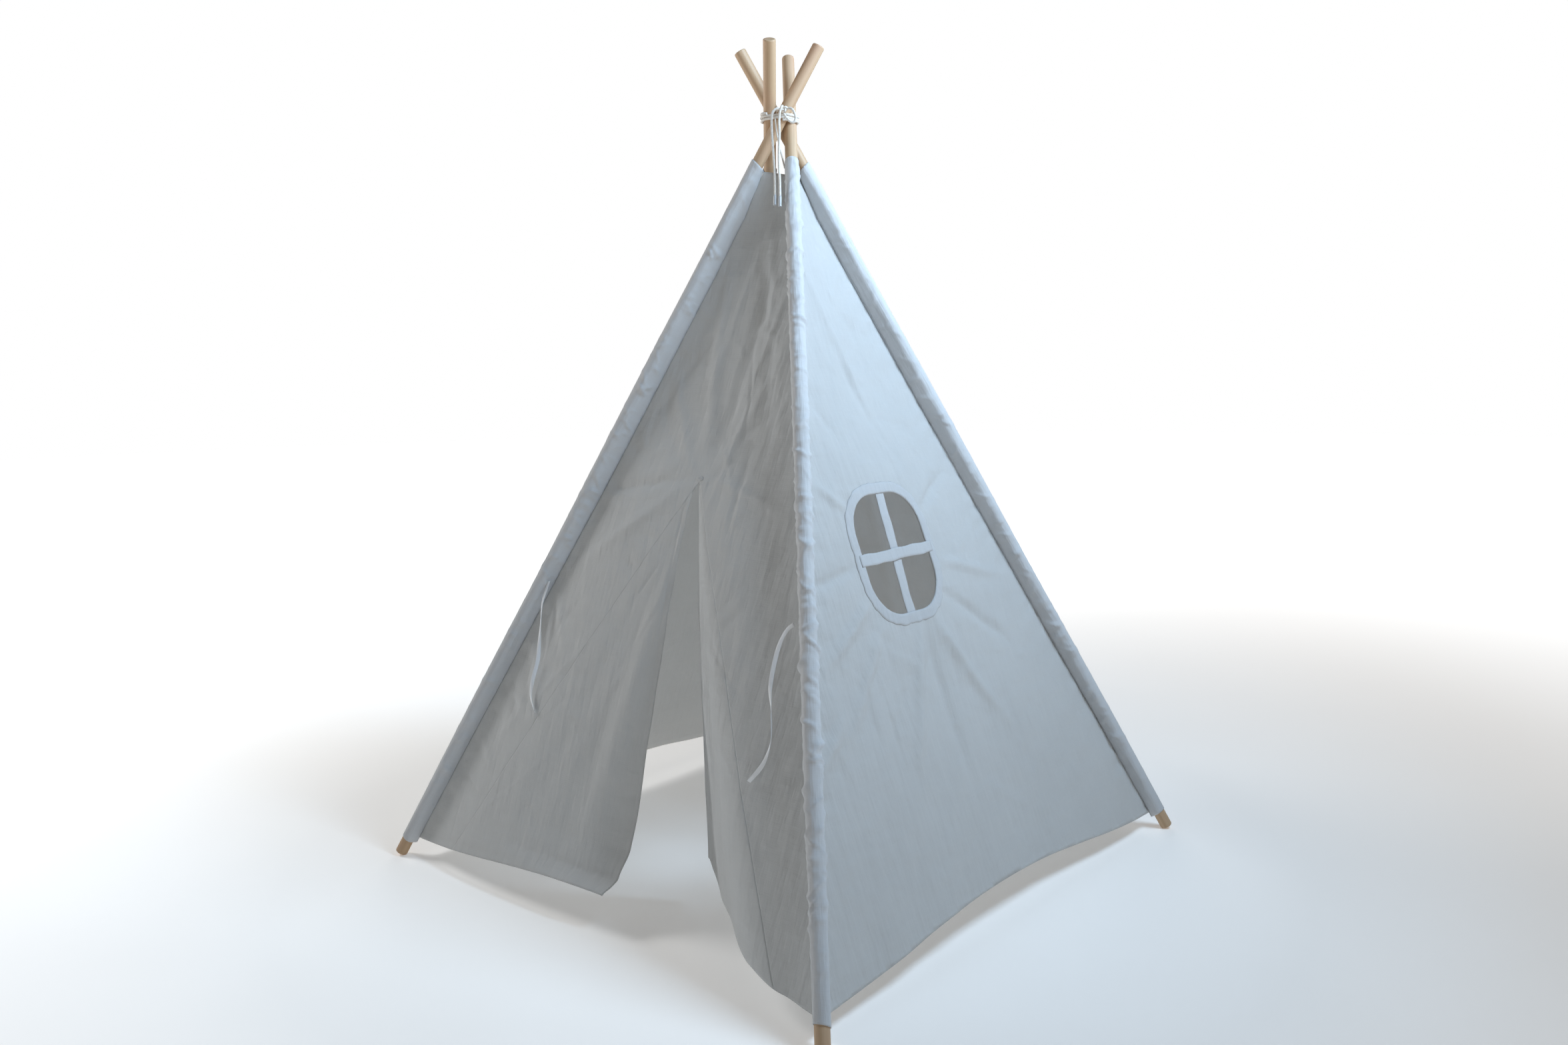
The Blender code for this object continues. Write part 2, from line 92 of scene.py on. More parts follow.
FOOT_HALF = abs(axis_at_height("front_right", 0)[0])
SLOPE = atan2(FOOT_HALF, CROSSING[2])
SLOPE_LENGTH = hypot(FOOT_HALF, CROSSING[2])
POLE_R = 0.012
SLEEVE_R = 0.013  # the middle of a sleeve's cloth where it lies on its pole


def slope_of(height):
    return height / cos(SLOPE)


HEM_LOW = slope_of(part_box("back_sheet")[0].z)
SHEET_TOP = slope_of(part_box("back_sheet")[1].z)
HEM_RISE = 0.036
SLIT_X = joints["door_left_swing"]["pos_m"][0]
SLIT_TOP = slope_of(joints["door_left_swing"]["pos_m"][2])
window_low, window_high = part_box("window_binding")
WINDOW_X = (window_low.y + window_high.y) / 2
WINDOW_S = slope_of((window_low.z + window_high.z) / 2)
BINDING_W = 0.019
OPENING = (window_high.y - window_low.y - 2 * BINDING_W, 0.226)
OPENING_CORNER = 0.072
STRAIGHT_W, STRAIGHT_H = (side / 2 - OPENING_CORNER for side in OPENING)


def face_turn(face):
    turn = face * pi / 2
    return np.array([[cos(turn), -sin(turn), 0], [sin(turn), cos(turn), 0], [0, 0, 1]])


def on_face(face, x, s, w=0):
    """World points of face coordinates, given as numbers or arrays."""
    x, s, w = np.broadcast_arrays(*(np.asarray(v, float) for v in (x, s, w)))
    y = -FOOT_HALF + s * sin(SLOPE) - w * cos(SLOPE)
    z = s * cos(SLOPE) + w * sin(SLOPE)
    return np.stack([x, y, z], -1) @ face_turn(face).T


def to_face(face, points):
    """Face coordinates (x, s, w) of world points, along the last axis."""
    local = np.asarray(points, float) @ face_turn(face)
    y = local[..., 1] + FOOT_HALF
    s = y * sin(SLOPE) + local[..., 2] * cos(SLOPE)
    w = -y * cos(SLOPE) + local[..., 2] * sin(SLOPE)
    return np.stack([local[..., 0], s, w], -1)


# --- Small helpers ---
def smooth_step(value, low, high):
    t = np.clip((np.asarray(value, float) - low) / (high - low), 0, 1)
    return t * t * (3 - 2 * t)


def blend_between(value, marks):
    """A smooth curve through (place, height) marks."""
    places, heights = np.array(marks).T
    value = np.clip(value, places[0], places[-1])
    index = np.clip(np.searchsorted(places, value, side="right") - 1, 0, len(marks) - 2)
    share = (value - places[index]) / (places[index + 1] - places[index])
    share = share * share * (3 - 2 * share)
    return heights[index] * (1 - share) + heights[index + 1] * share


def ripple(x, s, seed, wavelength, height, stretch=1, waves=14):
    """Soft unevenness: a seeded sum of waves, longer along s by stretch."""
    dice = np.random.RandomState(seed)
    total = np.zeros(np.broadcast(x, s).shape)
    for _ in range(waves):
        turn = dice.uniform(0, 2 * pi)
        k = 2 * pi / (wavelength * dice.uniform(0.7, 1.6))
        phase = dice.uniform(0, 2 * pi)
        total += np.sin(k * (x * cos(turn) + s / stretch * sin(turn)) + phase)
    return total * height / sqrt(waves)


def crease(x, s, start, end, width, height, bend=0):
    """A fold from start to end that fades at both ends and may bow to one side."""
    ax, ay = start
    dx, dy = end[0] - ax, end[1] - ay
    length = hypot(dx, dy)
    along = ((x - ax) * dx + (s - ay) * dy) / length**2
    aside = ((x - ax) * -dy + (s - ay) * dx) / length
    inside = np.clip(along, 0, 1)
    aside = aside - bend * 4 * inside * (1 - inside)
    fade = smooth_step(along, -0.12, 0.25) * (1 - smooth_step(along, 0.55, 1.12))
    return height * fade * np.exp(-((aside / width) ** 2))


def millimetres(*points):
    """Points written in millimetres, as metres."""
    return [tuple(value / 1000 for value in point) for point in points]


def link(made):
    bpy.context.scene.collection.objects.link(made)
    return made


def add_mesh(name, points, faces, surface, cloth):
    """A smooth mesh object; cloth is each point's place on the flat cloth."""
    mesh = bpy.data.meshes.new(name)
    mesh.from_pydata(np.asarray(points, float).reshape(-1, 3).tolist(), [], faces)
    mesh.update()
    corners = np.empty(len(mesh.loops), int)
    mesh.loops.foreach_get("vertex_index", corners)
    layer = mesh.uv_layers.new(name="cloth")
    layer.data.foreach_set("uv", np.asarray(cloth, np.float32).reshape(-1, 2)[corners].ravel())
    mesh.materials.append(surface)
    mesh.shade_smooth()
    return link(bpy.data.objects.new(name, mesh))


def grid_faces(rows, columns, closed=False):
    faces = []
    last = columns if closed else columns - 1
    for r in range(rows - 1):
        for c in range(last):
            n = (c + 1) % columns
            low, high = r * columns, (r + 1) * columns
            faces.append((low + c, low + n, high + n, high + c))
    return faces


def capped_tube(rows, sides):
    """Faces of a tube with both ends closed."""
    ends = [tuple(range(sides))[::-1], tuple((rows - 1) * sides + i for i in range(sides))]
    return grid_faces(rows, sides, closed=True) + ends


def thicken(made, thickness):
    solid = made.modifiers.new("cloth", "SOLIDIFY")
    solid.thickness = thickness
    solid.offset = 0


def repaint(node, surface):
    """Give a kept CAD piece its material."""
    kept = frame["nodes"][node]
    kept.data.materials.clear()
    kept.data.materials.append(surface)
    return kept


def stand_for(made, node, body=None):
    """The piece stands in for a CAD node, which is hidden, and may ride on a body."""
    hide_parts(node)
    if body:
        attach(made, body)


# --- Materials ---
class Nodes:
    """A short way to write a material's nodes."""

    def __init__(self, name):
        self.material = bpy.data.materials.new(name)
        self.material.use_nodes = True
        self.tree = self.material.node_tree
        self.shader = self.tree.nodes["Principled BSDF"]
        self.output = self.tree.nodes["Material Output"]

    def add(self, kind, values=(), **settings):
        node = self.tree.nodes.new("ShaderNode" + kind)
        for key, value in settings.items():
            setattr(node, key, value)
        for key, value in dict(values).items():
            if isinstance(value, bpy.types.NodeSocket):
                self.tree.links.new(value, node.inputs[key])
            else:
                node.inputs[key].default_value = value
        return node

    def place(self):
        return self.add("TexCoord").outputs["Object"]

    def noise(self, vector, scale, detail=3, rough=0.5):
        values = {"Vector": vector, "Scale": scale, "Detail": detail, "Roughness": rough}
        return self.add("TexNoise", values).outputs[0]

    def math(self, operation, a, b):
        return self.add("Math", {0: a, 1: b}, operation=operation).outputs[0]

    def ramp(self, value, low, high, start=0, stop=1):
        values = {"Value": value, "From Min": low, "From Max": high, "To Min": start, "To Max": stop}
        return self.add("MapRange", values).outputs[0]

    def mix(self, share, a, b):
        node = self.add("Mix", {0: share, 6: a, 7: b}, data_type="RGBA")
        return node.outputs[2]

    def stretch(self, vector, scale, rotation=(0, 0, 0)):
        values = {"Vector": vector, "Scale": scale, "Rotation": rotation}
        return self.add("Mapping", values).outputs[0]

    def streaks(self, vector, scale, detail, rough, rotation=(0, 0, 0)):
        return self.noise(self.stretch(vector, scale, rotation), 1, detail, rough)

    def bump(self, height, strength, distance, normal=None):
        values = {"Height": height, "Strength": strength, "Distance": distance}
        if normal is not None:
            values["Normal"] = normal
        return self.add("Bump", values).outputs[0]

    def set(self, **values):
        for key, value in values.items():
            socket = self.shader.inputs[key.replace("_", " ")]
            if isinstance(value, bpy.types.NodeSocket):
                self.tree.links.new(value, socket)
            else:
                socket.default_value = value


def opaque(colour, gain=1):
    return (*(part * gain for part in colour), 1)


def canvas_material(name, base, see_through=0.38, weave=520):
    """Plain-woven cotton: threads, slubs, mottling, and light that comes through."""
    n = Nodes(name)
    cloth = n.add("UVMap", uv_map="cloth").outputs[0]
    place = n.place()
    mottle = n.noise(place, 9, 4, 0.55)
    slubs = n.streaks(cloth, (420, 16, 1), 2, 0.6)
    cross_slubs = n.streaks(cloth, (16, 420, 1), 2, 0.6)
    thread = n.math("MULTIPLY", n.math("ADD", slubs, cross_slubs), 0.5)
    light, dark = opaque(base, 1.035), opaque(base, 0.955)
    tone = n.math("ADD", n.ramp(mottle, 0.3, 0.7, 0, 0.55), n.ramp(thread, 0.35, 0.65, 0, 0.45))
    colour = n.mix(tone, dark, light)
    threads = {"Vector": cloth, "Scale": weave / 6.2832}
    warp = n.add("TexWave", threads, bands_direction="X").outputs[1]
    weft = n.add("TexWave", threads, bands_direction="Y").outputs[1]
    woven = n.math("MAXIMUM", warp, weft)
    normal = n.bump(woven, 0.25, 0.00025)
    normal = n.bump(thread, 0.35, 0.0006, normal)
    normal = n.bump(n.noise(place, 55, 3, 0.6), 0.3, 0.0016, normal)
    drags = n.streaks(cloth, (46, 6.5, 1), 3, 0.55, (0, 0, 0.12))
    rucks = n.streaks(cloth, (16, 30, 1), 2, 0.5, (0, 0, -0.5))
    normal = n.bump(drags, 0.42, 0.01, normal)
    normal = n.bump(rucks, 0.35, 0.01, normal)
    n.set(Base_Color=colour, Roughness=0.9, Specular_IOR_Level=0.2, Normal=normal)
    n.set(Sheen_Weight=0.15, Sheen_Roughness=0.5)
    through = n.add("BsdfTranslucent", {"Color": (0.88, 0.88, 0.87, 1), "Normal": normal})
    both = n.add("MixShader", {0: see_through, 1: n.shader.outputs[0], 2: through.outputs[0]})
    n.tree.links.new(both.outputs[0], n.output.inputs["Surface"])
    return n.material


def wood_material(corner):
    """Sanded pine: long grain along the pole, pores, and a few pinkish streaks."""
    n = Nodes("pine_" + corner)
    foot, up = pole_axis(corner)
    place = n.place()
    turn = Vector(up).to_track_quat("Z", "Y").inverted().to_euler()
    along = n.stretch(place, (1, 1, 1), tuple(turn))
    grain = n.streaks(along, (150, 150, 4), 4, 0.55)
    bands = n.streaks(along, (55, 55, 1.6), 2, 0.5)
    patches = n.streaks(along, (14, 14, 5), 2, 0.5)
    pale, tan, pink = (0.58, 0.41, 0.26, 1), (0.47, 0.31, 0.18, 1), (0.53, 0.31, 0.2, 1)
    colour = n.mix(n.ramp(bands, 0.35, 0.68), pale, tan)
    colour = n.mix(n.ramp(patches, 0.5, 0.72, 0, 0.6), colour, pink)
    colour = n.mix(n.ramp(grain, 0.48, 0.75, 0, 0.45), colour, (0.36, 0.22, 0.11, 1))
    rough = n.ramp(grain, 0.3, 0.7, 0.48, 0.66)
    normal = n.bump(grain, 0.15, 0.0003)
    n.set(Base_Color=colour, Roughness=rough, Normal=normal)
    return n.material


def cord_material(name, colour, pitch=0.004):
    """Braided cotton: slanting strands crossing each other."""
    n = Nodes(name)
    place = n.place()
    fuzz = n.noise(place, 900, 3, 0.6)
    strands = n.add("TexVoronoi", {"Vector": place, "Scale": 1 / pitch}).outputs[0]
    tone = n.ramp(n.math("ADD", strands, fuzz), 0.3, 1.2)
    n.set(Base_Color=n.mix(tone, opaque(colour), opaque(colour, 0.8)), Roughness=0.85)
    n.set(Normal=n.bump(n.math("ADD", strands, fuzz), 0.2, 0.0002), Sheen_Weight=0.2)
    return n.material


def plastic_material(name, colour):
    """Clear-grey shrink tube, a little scuffed."""
    n = Nodes(name)
    place = n.place()
    scuff = n.noise(place, 600, 3, 0.6)
    n.set(Base_Color=n.mix(scuff, opaque(colour), opaque(colour, 0.8)))
    n.set(Roughness=n.ramp(scuff, 0.3, 0.7, 0.22, 0.42))
    n.set(Normal=n.bump(scuff, 0.15, 0.0003))
    return n.material


def glowing_floor_material():
    n = Nodes("studio_floor")
    place = n.place()
    tone = n.ramp(n.noise(place, 3, 2), 0.3, 0.7, 0, 1)
    n.set(Base_Color=n.mix(tone, (0.95, 0.92, 0.88, 1), (0.97, 0.94, 0.9, 1)), Roughness=0.7)
    # Painted light: the floor glows by its own emission, dim near the tent as painted shade and brighter far out.
    away = n.add("VectorMath", {0: place}, operation="LENGTH").outputs["Value"]
    n.set(Emission_Color=(1, 1, 1, 1), Emission_Strength=n.ramp(away, 1, 3.6, 0.2, 0.92))
    return n.material


CANVAS = canvas_material("cotton_canvas", (0.66, 0.66, 0.65))
SLEEVE_CLOTH = canvas_material("cotton_sleeve", (0.63, 0.635, 0.64), see_through=0.12)
TAPE = canvas_material("cotton_tape", (0.54, 0.54, 0.54), see_through=0.1, weave=800)
RIBBON = canvas_material("cotton_ribbon", (0.86, 0.87, 0.88), see_through=0.05, weave=1200)
CORD = cord_material("braided_cord", (0.82, 0.77, 0.7))
PLASTIC = plastic_material("cord_tip", (0.5, 0.51, 0.52))


# --- Camera, light and floor ---
CAMERA_PLACE = (1.628, -1.813, 0.994)
CAMERA_YAW, CAMERA_PITCH, CAMERA_ROLL = 132, -7.63, -0.82
LENS_MM = 28.125


def add_camera():
    data = bpy.data.cameras.new("camera")
    data.sensor_width = 36
    data.lens = LENS_MM
    data.clip_start, data.clip_end = 0.05, 60
    made = link(bpy.data.objects.new("camera", data))
    yaw, pitch, roll = (radians(v) for v in (CAMERA_YAW, CAMERA_PITCH, CAMERA_ROLL))
    forward = Vector((cos(yaw) * cos(pitch), sin(yaw) * cos(pitch), sin(pitch)))
    level = forward.cross(Vector((0, 0, 1))).normalized()
    up = level.cross(forward)
    right = level * cos(roll) + up * sin(roll)
    up = right.cross(forward)
    turn = Matrix((right, up, -forward)).transposed().to_4x4()
    made.matrix_world = Matrix.Translation(CAMERA_PLACE) @ turn
    bpy.context.scene.camera = made


# Place, target, side in metres, power in watts, colour and spread in degrees.
LIGHTS = {
    "window_light": ((1.35, 0.35, 2.2), (0.1, 0, 1.3), 0.8, 25, (0.58, 0.78, 1), 120),
    "left_light": ((-2.5, -0.95, 2.1), (0, -0.3, 0.7), 0.9, 34, (0.94, 0.97, 1), 180),
    "back_fill": ((-2.6, 3, 2.2), (0, 0, 0.7), 2.4, 30, (0.96, 0.98, 1), 180),
}
SKY_STRENGTH = 0.13
FLOOR_RADIUS = 14


def add_light(name, place, target, size, power, colour, spread):
    data = bpy.data.lights.new(name, "AREA")
    data.spread = radians(spread)
    data.shape = "RECTANGLE"
    data.size = data.size_y = size
    data.energy = power
    data.color = colour
    made = link(bpy.data.objects.new(name, data))
    made.location = place
    made.rotation_euler = (Vector(target) - Vector(place)).to_track_quat("-Z", "Y").to_euler()


def add_world():
    """A dim sky that the camera sees as white."""
    world = bpy.data.worlds.new("studio")
    world.use_nodes = True
    tree = world.node_tree
    sky = tree.nodes["Background"]
    sky.inputs[0].default_value = (1, 0.99, 0.97, 1)
    sky.inputs[1].default_value = SKY_STRENGTH
    seen = tree.nodes.new("ShaderNodeBackground")
    seen.inputs[0].default_value = (1, 1, 1, 1)
    path = tree.nodes.new("ShaderNodeLightPath")
    mix = tree.nodes.new("ShaderNodeMixShader")
    tree.links.new(path.outputs["Is Camera Ray"], mix.inputs[0])
    tree.links.new(sky.outputs[0], mix.inputs[1])
    tree.links.new(seen.outputs[0], mix.inputs[2])
    tree.links.new(mix.outputs[0], tree.nodes["World Output"].inputs[0])
    bpy.context.scene.world = world


def add_studio():
    """A pale floor that glows (painted light, dim near the tent as painted shade), a cool window light from the
    right, a light on the left and a fill.
    """
    for name, values in LIGHTS.items():
        add_light(name, *values)
    add_world()
    bpy.context.scene.view_settings.view_transform = "Standard"
    mesh = bpy.data.meshes.new("studio_floor")
    disc = bmesh.new()
    bmesh.ops.create_circle(disc, cap_ends=True, segments=96, radius=FLOOR_RADIUS)
    disc.to_mesh(mesh)
    disc.free()
    mesh.materials.append(glowing_floor_material())
    link(bpy.data.objects.new("studio_floor", mesh))


# --- Free cords ---
CORD_D = 0.0048
HANGER_D = 0.003
KNOT_AZIMUTH = radians(-52)
# Right of, out from and above the knot's middle.
LOOP_ROUTE = millimetres(
    (9.2, 1, 1), (15, 3.5, -0.5), (20, 5, -8), (22.2, 5.5, -17), (20, 5.5, -24.5),
    (15, 5.8, -25.5), (8.5, 6.2, -20.5), (3, 6, -14), (0.5, 4.5, -9.8),
)
LEFT_TAIL_ROUTE = millimetres(
    (-8.8, 0.5, 1), (-15, 2.5, 0), (-21.5, 4.5, -7), (-23, 6.5, -20), (-22.5, 10, -45),
    (-20.5, 15.5, -75), (-18, 24.5, -105), (-16.5, 34, -135), (-16, 43, -163),
)
RIGHT_TAIL_ROUTE = millimetres(
    (-2, 8.5, 4), (-4, 11.8, 1), (-7, 12.5, -8), (-8.5, 13, -25), (-8, 16, -50), (-9, 21.5, -80),
    (-8.5, 31, -112), (-7, 40, -140), (-6.5, 48, -166),
)
# From the crossing, in the frame's directions.
HANGER_ROUTE = millimetres(
    (16, -31.2, -0.8), (17.6, -32, -12), (19.6, -31.5, -26), (22.2, -30, -42), (25.8, -28.2, -60),
    (30, -26.8, -78), (33.6, -25.8, -93),
)
# In from the sheet's side, up from the ribbon's top and out from the cloth.
LEFT_RIBBON_ROUTE = millimetres(
    (4.5, 0, 0), (5.5, -20, 2), (8, -45, 4.5), (18, -80, 5), (29, -119, 4), (39, -156, 3.5),
    (43, -195, 5), (48, -226, 4.5), (70, -252, 2.5),
)
RIGHT_RIBBON_ROUTE = millimetres(
    (8, 0, 0), (17, -10, 2.5), (23, -30, 5), (25, -57, 6), (23, -106, 5), (9, -147, 4),
    (-4, -190, 4.5), (1, -229, 4), (23, -262, 2.5),
)


def smooth_route(points, step):
    """Points about a step apart on a smooth curve (Catmull-Rom) through the route."""
    points = [Vector(p) for p in points]
    knots = [points[0], *points, points[-1]]
    found = [points[0]]
    for a, b, c, d in zip(knots, knots[1:], knots[2:], knots[3:], strict=False):
        count = max(1, round((c - b).length / step))
        for i in range(1, count + 1):
            t = i / count
            second = (2 * a - 5 * b + 4 * c - d) * t * t
            third = (3 * b - 3 * c + d - a) * t**3
            found.append(0.5 * (2 * b + (c - a) * t + second + third))
    return found


def knot_route(points):
    """Points right of, out from and above the knot's middle, as world points."""
    low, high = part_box("lashing_knot")
    out = Vector((cos(KNOT_AZIMUTH), sin(KNOT_AZIMUTH), 0))
    right = Vector((-sin(KNOT_AZIMUTH), cos(KNOT_AZIMUTH), 0))
    return [(low + high) / 2 + right * x + out * y + Vector((0, 0, z)) for x, y, z in points]


def tube(name, points, diameter):
    """A round cord as a capped curve."""
    curve = bpy.data.curves.new(name, "CURVE")
    curve.dimensions = "3D"
    curve.bevel_depth = diameter / 2
    curve.bevel_resolution = 4
    curve.use_fill_caps = True
    line = curve.splines.new("POLY")
    line.points.add(len(points) - 1)
    for point, place in zip(line.points, points, strict=True):
        point.co = (*place, 1)
    curve.materials.append(CORD)
    return link(bpy.data.objects.new(name, curve))


def add_free_cord(node, points, diameter, **facts):
    made = tube(node + "_cord", points, diameter)
    stand_for(made, node, FRONT)


def add_cords():
    for side, route in (("left", LEFT_TAIL_ROUTE), ("right", RIGHT_TAIL_ROUTE)):
        tip = repaint("lashing_tip_" + side, PLASTIC)
        points = smooth_route(knot_route(route), CORD_D / 2)
        facts = {"far_end": "fitting", "lay": "hanging", "with_pieces": [tip]}
        add_free_cord("lashing_tail_" + side, points, CORD_D, **facts)
    points = smooth_route(knot_route(LOOP_ROUTE), CORD_D / 2)
    add_free_cord("lashing_loop", points, CORD_D, far_end="object", lay="hanging")
    points = smooth_route([Vector(CROSSING) + Vector(p) for p in HANGER_ROUTE], HANGER_D)
    add_free_cord("hanger_cord", points, HANGER_D, far_end="object", lay="taut")


# --- Lashing wraps and knot ---
WRAPS_LOW, WRAPS_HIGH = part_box("lashing_wraps")
WRAP_TURNS = 3
WRAP_GAP = 0.0008
WRAP_STEPS = 220
KNOT_STEPS = 72


def wrap_point(turn, height, lift=0):
    """A point of a taut wrap round the four poles, at an angle and a height."""
    facing = np.array([cos(turn), sin(turn)])
    best = None
    for corner in CORNERS:
        middle = axis_at_height(corner, height)
        up = pole_axis(corner)[1]
        lean = atan2(up[1], up[0])
        near = POLE_R + CORD_D / 2 + WRAP_GAP + lift
        far = near / up[2]
        a, b = cos(turn - lean), sin(turn - lean)
        support = sqrt((far * a) ** 2 + (near * b) ** 2)
        x, y = far**2 * a / support, near**2 * b / support
        place = middle[:2] + [x * cos(lean) - y * sin(lean), x * sin(lean) + y * cos(lean)]
        reach = middle[:2] @ facing + support
        if best is None or reach > best[0]:
            best = (reach, place)
    return Vector((*best[1], height))


def add_wraps():
    """The wraps, a little loose and uneven, as a hand-wound lashing is."""
    low = WRAPS_LOW.z + CORD_D / 2
    rise = (WRAPS_HIGH.z - WRAPS_LOW.z - CORD_D) / WRAP_TURNS
    start, sweep = KNOT_AZIMUTH + 0.35, 2 * pi * WRAP_TURNS - 0.7
    points = []
    for i in range(WRAP_STEPS + 1):
        turn = sweep * i / WRAP_STEPS
        wobble = 0.0006 * sin(2.3 * turn + 0.7) + 0.0004 * sin(5.1 * turn)
        height = low + rise * turn / (2 * pi) + wobble
        points.append(wrap_point(start + turn, height, 0.0005 * (1 + sin(3.7 * turn))))
    made = tube("lashing_wrapped_cord", points, CORD_D)
    stand_for(made, "lashing_wraps", FRONT)


def add_knot():
    """The bow's knot: a cord pulled round itself (a trefoil line, drawn tight)."""
    points = []
    for i in range(KNOT_STEPS):
        t = 2 * pi * i / KNOT_STEPS
        x = sin(t) + 1.9 * sin(2 * t)
        z = cos(t) - 1.9 * cos(2 * t)
        points.append((x * 0.0021, -sin(3 * t) * 0.0024, z * 0.0017))
    made = tube("lashing_bow_knot", knot_route(points), CORD_D * 0.92)
    made.data.splines[0].use_cyclic_u = True
    stand_for(made, "lashing_knot", FRONT)


# --- Sleeves ---
SEAM_REACH = ((0, 0.019), (0.12, 0.02), (0.35, 0.024), (0.6, 0.028), (0.85, 0.028))
SEAM_REACH += ((0.93, 0.0265), (0.97, 0.021), (1, 0.016))
SLEEVE_GRID = (430, 44)  # rings and sides
SLEEVE_THICKNESS = 0.0009
SLEEVE_SEEDS = {"front_left": 11, "front_right": 23, "back_right": 37, "back_left": 53}


def sleeve_span(corner):
    """Where the sleeve starts and ends, measured along the pole from its foot."""
    low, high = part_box("sleeve_" + corner)
    foot, up = pole_axis(corner)
    lean = sqrt(1 - up[2] ** 2)
    start = (low.z + SLEEVE_R * lean - foot[2]) / up[2]
    end = (high.z - SLEEVE_R * lean - foot[2]) / up[2]
    return start, end


def inward_direction(corner):
    """Square to the pole, in its upright plane, towards the inside of the tent."""
    foot, up = pole_axis(corner)
    inward = -np.array([foot[0], foot[1], 0])
    inward /= np.linalg.norm(inward)
    square = inward - up * (inward @ up)
    return square / np.linalg.norm(square)


def seam_point(corner, share):
    """The stitch line where two sheets meet a sleeve; share runs from its lower end."""
    foot, up = pole_axis(corner)
    start, end = sleeve_span(corner)
    share = np.asarray(share, float)
    along = (start + (end - start) * share)[..., None]
    reach = blend_between(share, SEAM_REACH)[..., None]
    return foot + up * along + inward_direction(corner) * reach


def puckers(along, around, seed, count, size):
    """Small gathers across a sleeve, never deeper than its pole."""
    dice = np.random.RandomState(seed)
    low = (0.02, -0.014, 0.002, -pi, 0.5, 0.4)
    high = (0.99, 0.014, 0.0065, pi, 1.5, 1.5)
    total = np.zeros(along.shape)
    for _ in range(count):
        place, slant, width, middle, reach, height = dice.uniform(low, high)
        away = np.angle(np.exp(1j * (around - middle)))
        line = along - place * 1.515 - slant * away + 0.002 * np.sin(3 * away + middle)
        total += height * np.exp(-((line / width) ** 2)) * np.exp(-((away / reach) ** 2))
    return size * np.minimum(total, 2.4)


def sleeve_radius(corner, along, turn, length):
    """The cloth's distance from the axis: drawn over the pole, sewn on its inner side."""
    reach = blend_between(along / length, SEAM_REACH)
    radius = SLEEVE_R + 0.0006 * (1 + np.sin(9 * along + SLEEVE_SEEDS[corner]))
    touch = pi - np.arccos(np.clip(radius / reach, -1, 1))
    drop = radius / np.cos(np.clip(np.abs(turn) - touch, 0, None))
    front = corner == "front_right"
    count, size = (250, 0.0026) if front else (190, 0.0022)
    fold = puckers(along, turn, SLEEVE_SEEDS[corner], count, size)
    calm = 0.25 + 0.75 * smooth_step(along, 0.02, 0.22) * (1 - smooth_step(along, 1.3, 1.5) * 0.6)
    if not front:
        calm = calm * (0.2 + 0.8 * smooth_step(np.abs(turn), 0.7, 1.5))
    return drop + fold * calm * (1 - smooth_step(np.abs(turn), touch[0, 0] + 0.25, pi) * 0.8)


def add_sleeve(corner):
    """A sleeve with a teardrop section and slanting, slightly uneven ends."""
    foot, up = pole_axis(corner)
    start, end = sleeve_span(corner)
    length = end - start
    inward = inward_direction(corner)
    across = np.cross(up, inward)
    rings, sides = SLEEVE_GRID
    along = np.linspace(0, length, rings)[:, None] * np.ones((1, sides))
    around = np.linspace(0, 2 * pi, sides, endpoint=False)[None, :] * np.ones((rings, 1))
    turn = np.angle(np.exp(1j * (around - pi)))
    drop = sleeve_radius(corner, along, turn, length)
    ends = 0.0035 * np.sin(turn + 0.6) * smooth_step(along, 0.06, 0)
    ends = ends + 0.004 * np.cos(turn) * smooth_step(along, 1.4, length)
    place = foot + up * (start + along + ends)[..., None]
    place = place - inward * (drop * np.cos(turn))[..., None]
    place = place + across * (drop * np.sin(turn))[..., None]
    cloth = np.stack([turn * 0.015, along], -1)
    faces = grid_faces(rings, sides, closed=True)
    made = add_mesh("sleeve_cloth_" + corner, place, faces, SLEEVE_CLOTH, cloth)
    thicken(made, SLEEVE_THICKNESS)
    body = FRONT if corner.startswith("front") else REAR
    stand_for(made, "sleeve_" + corner, body)


# --- The relief of each face ---
def hem_height(x):
    """The hem's arch, as s against x."""
    return HEM_LOW + HEM_RISE * np.cos(pi / 2 * np.asarray(x) / FOOT_HALF) ** 2


class Edge:
    """One stitched side of a sheet, as x and w against s in its face's coordinates."""

    def __init__(self, face, corner):
        shares = np.linspace(-0.01, 1.01, 120)
        points = to_face(face, seam_point(corner, shares))
        order = np.argsort(points[:, 1])
        self.x, self.s, self.w = points[order].T

    def across(self, s):
        return np.interp(s, self.s, self.x)

    def out(self, s):
        return np.interp(s, self.s, self.w)


# Each face's left and right edges: a face starts at the corner of its own number.
EDGES = [[Edge(face, CORNERS[(face + i) % 4]) for i in (0, 1)] for face in range(4)]
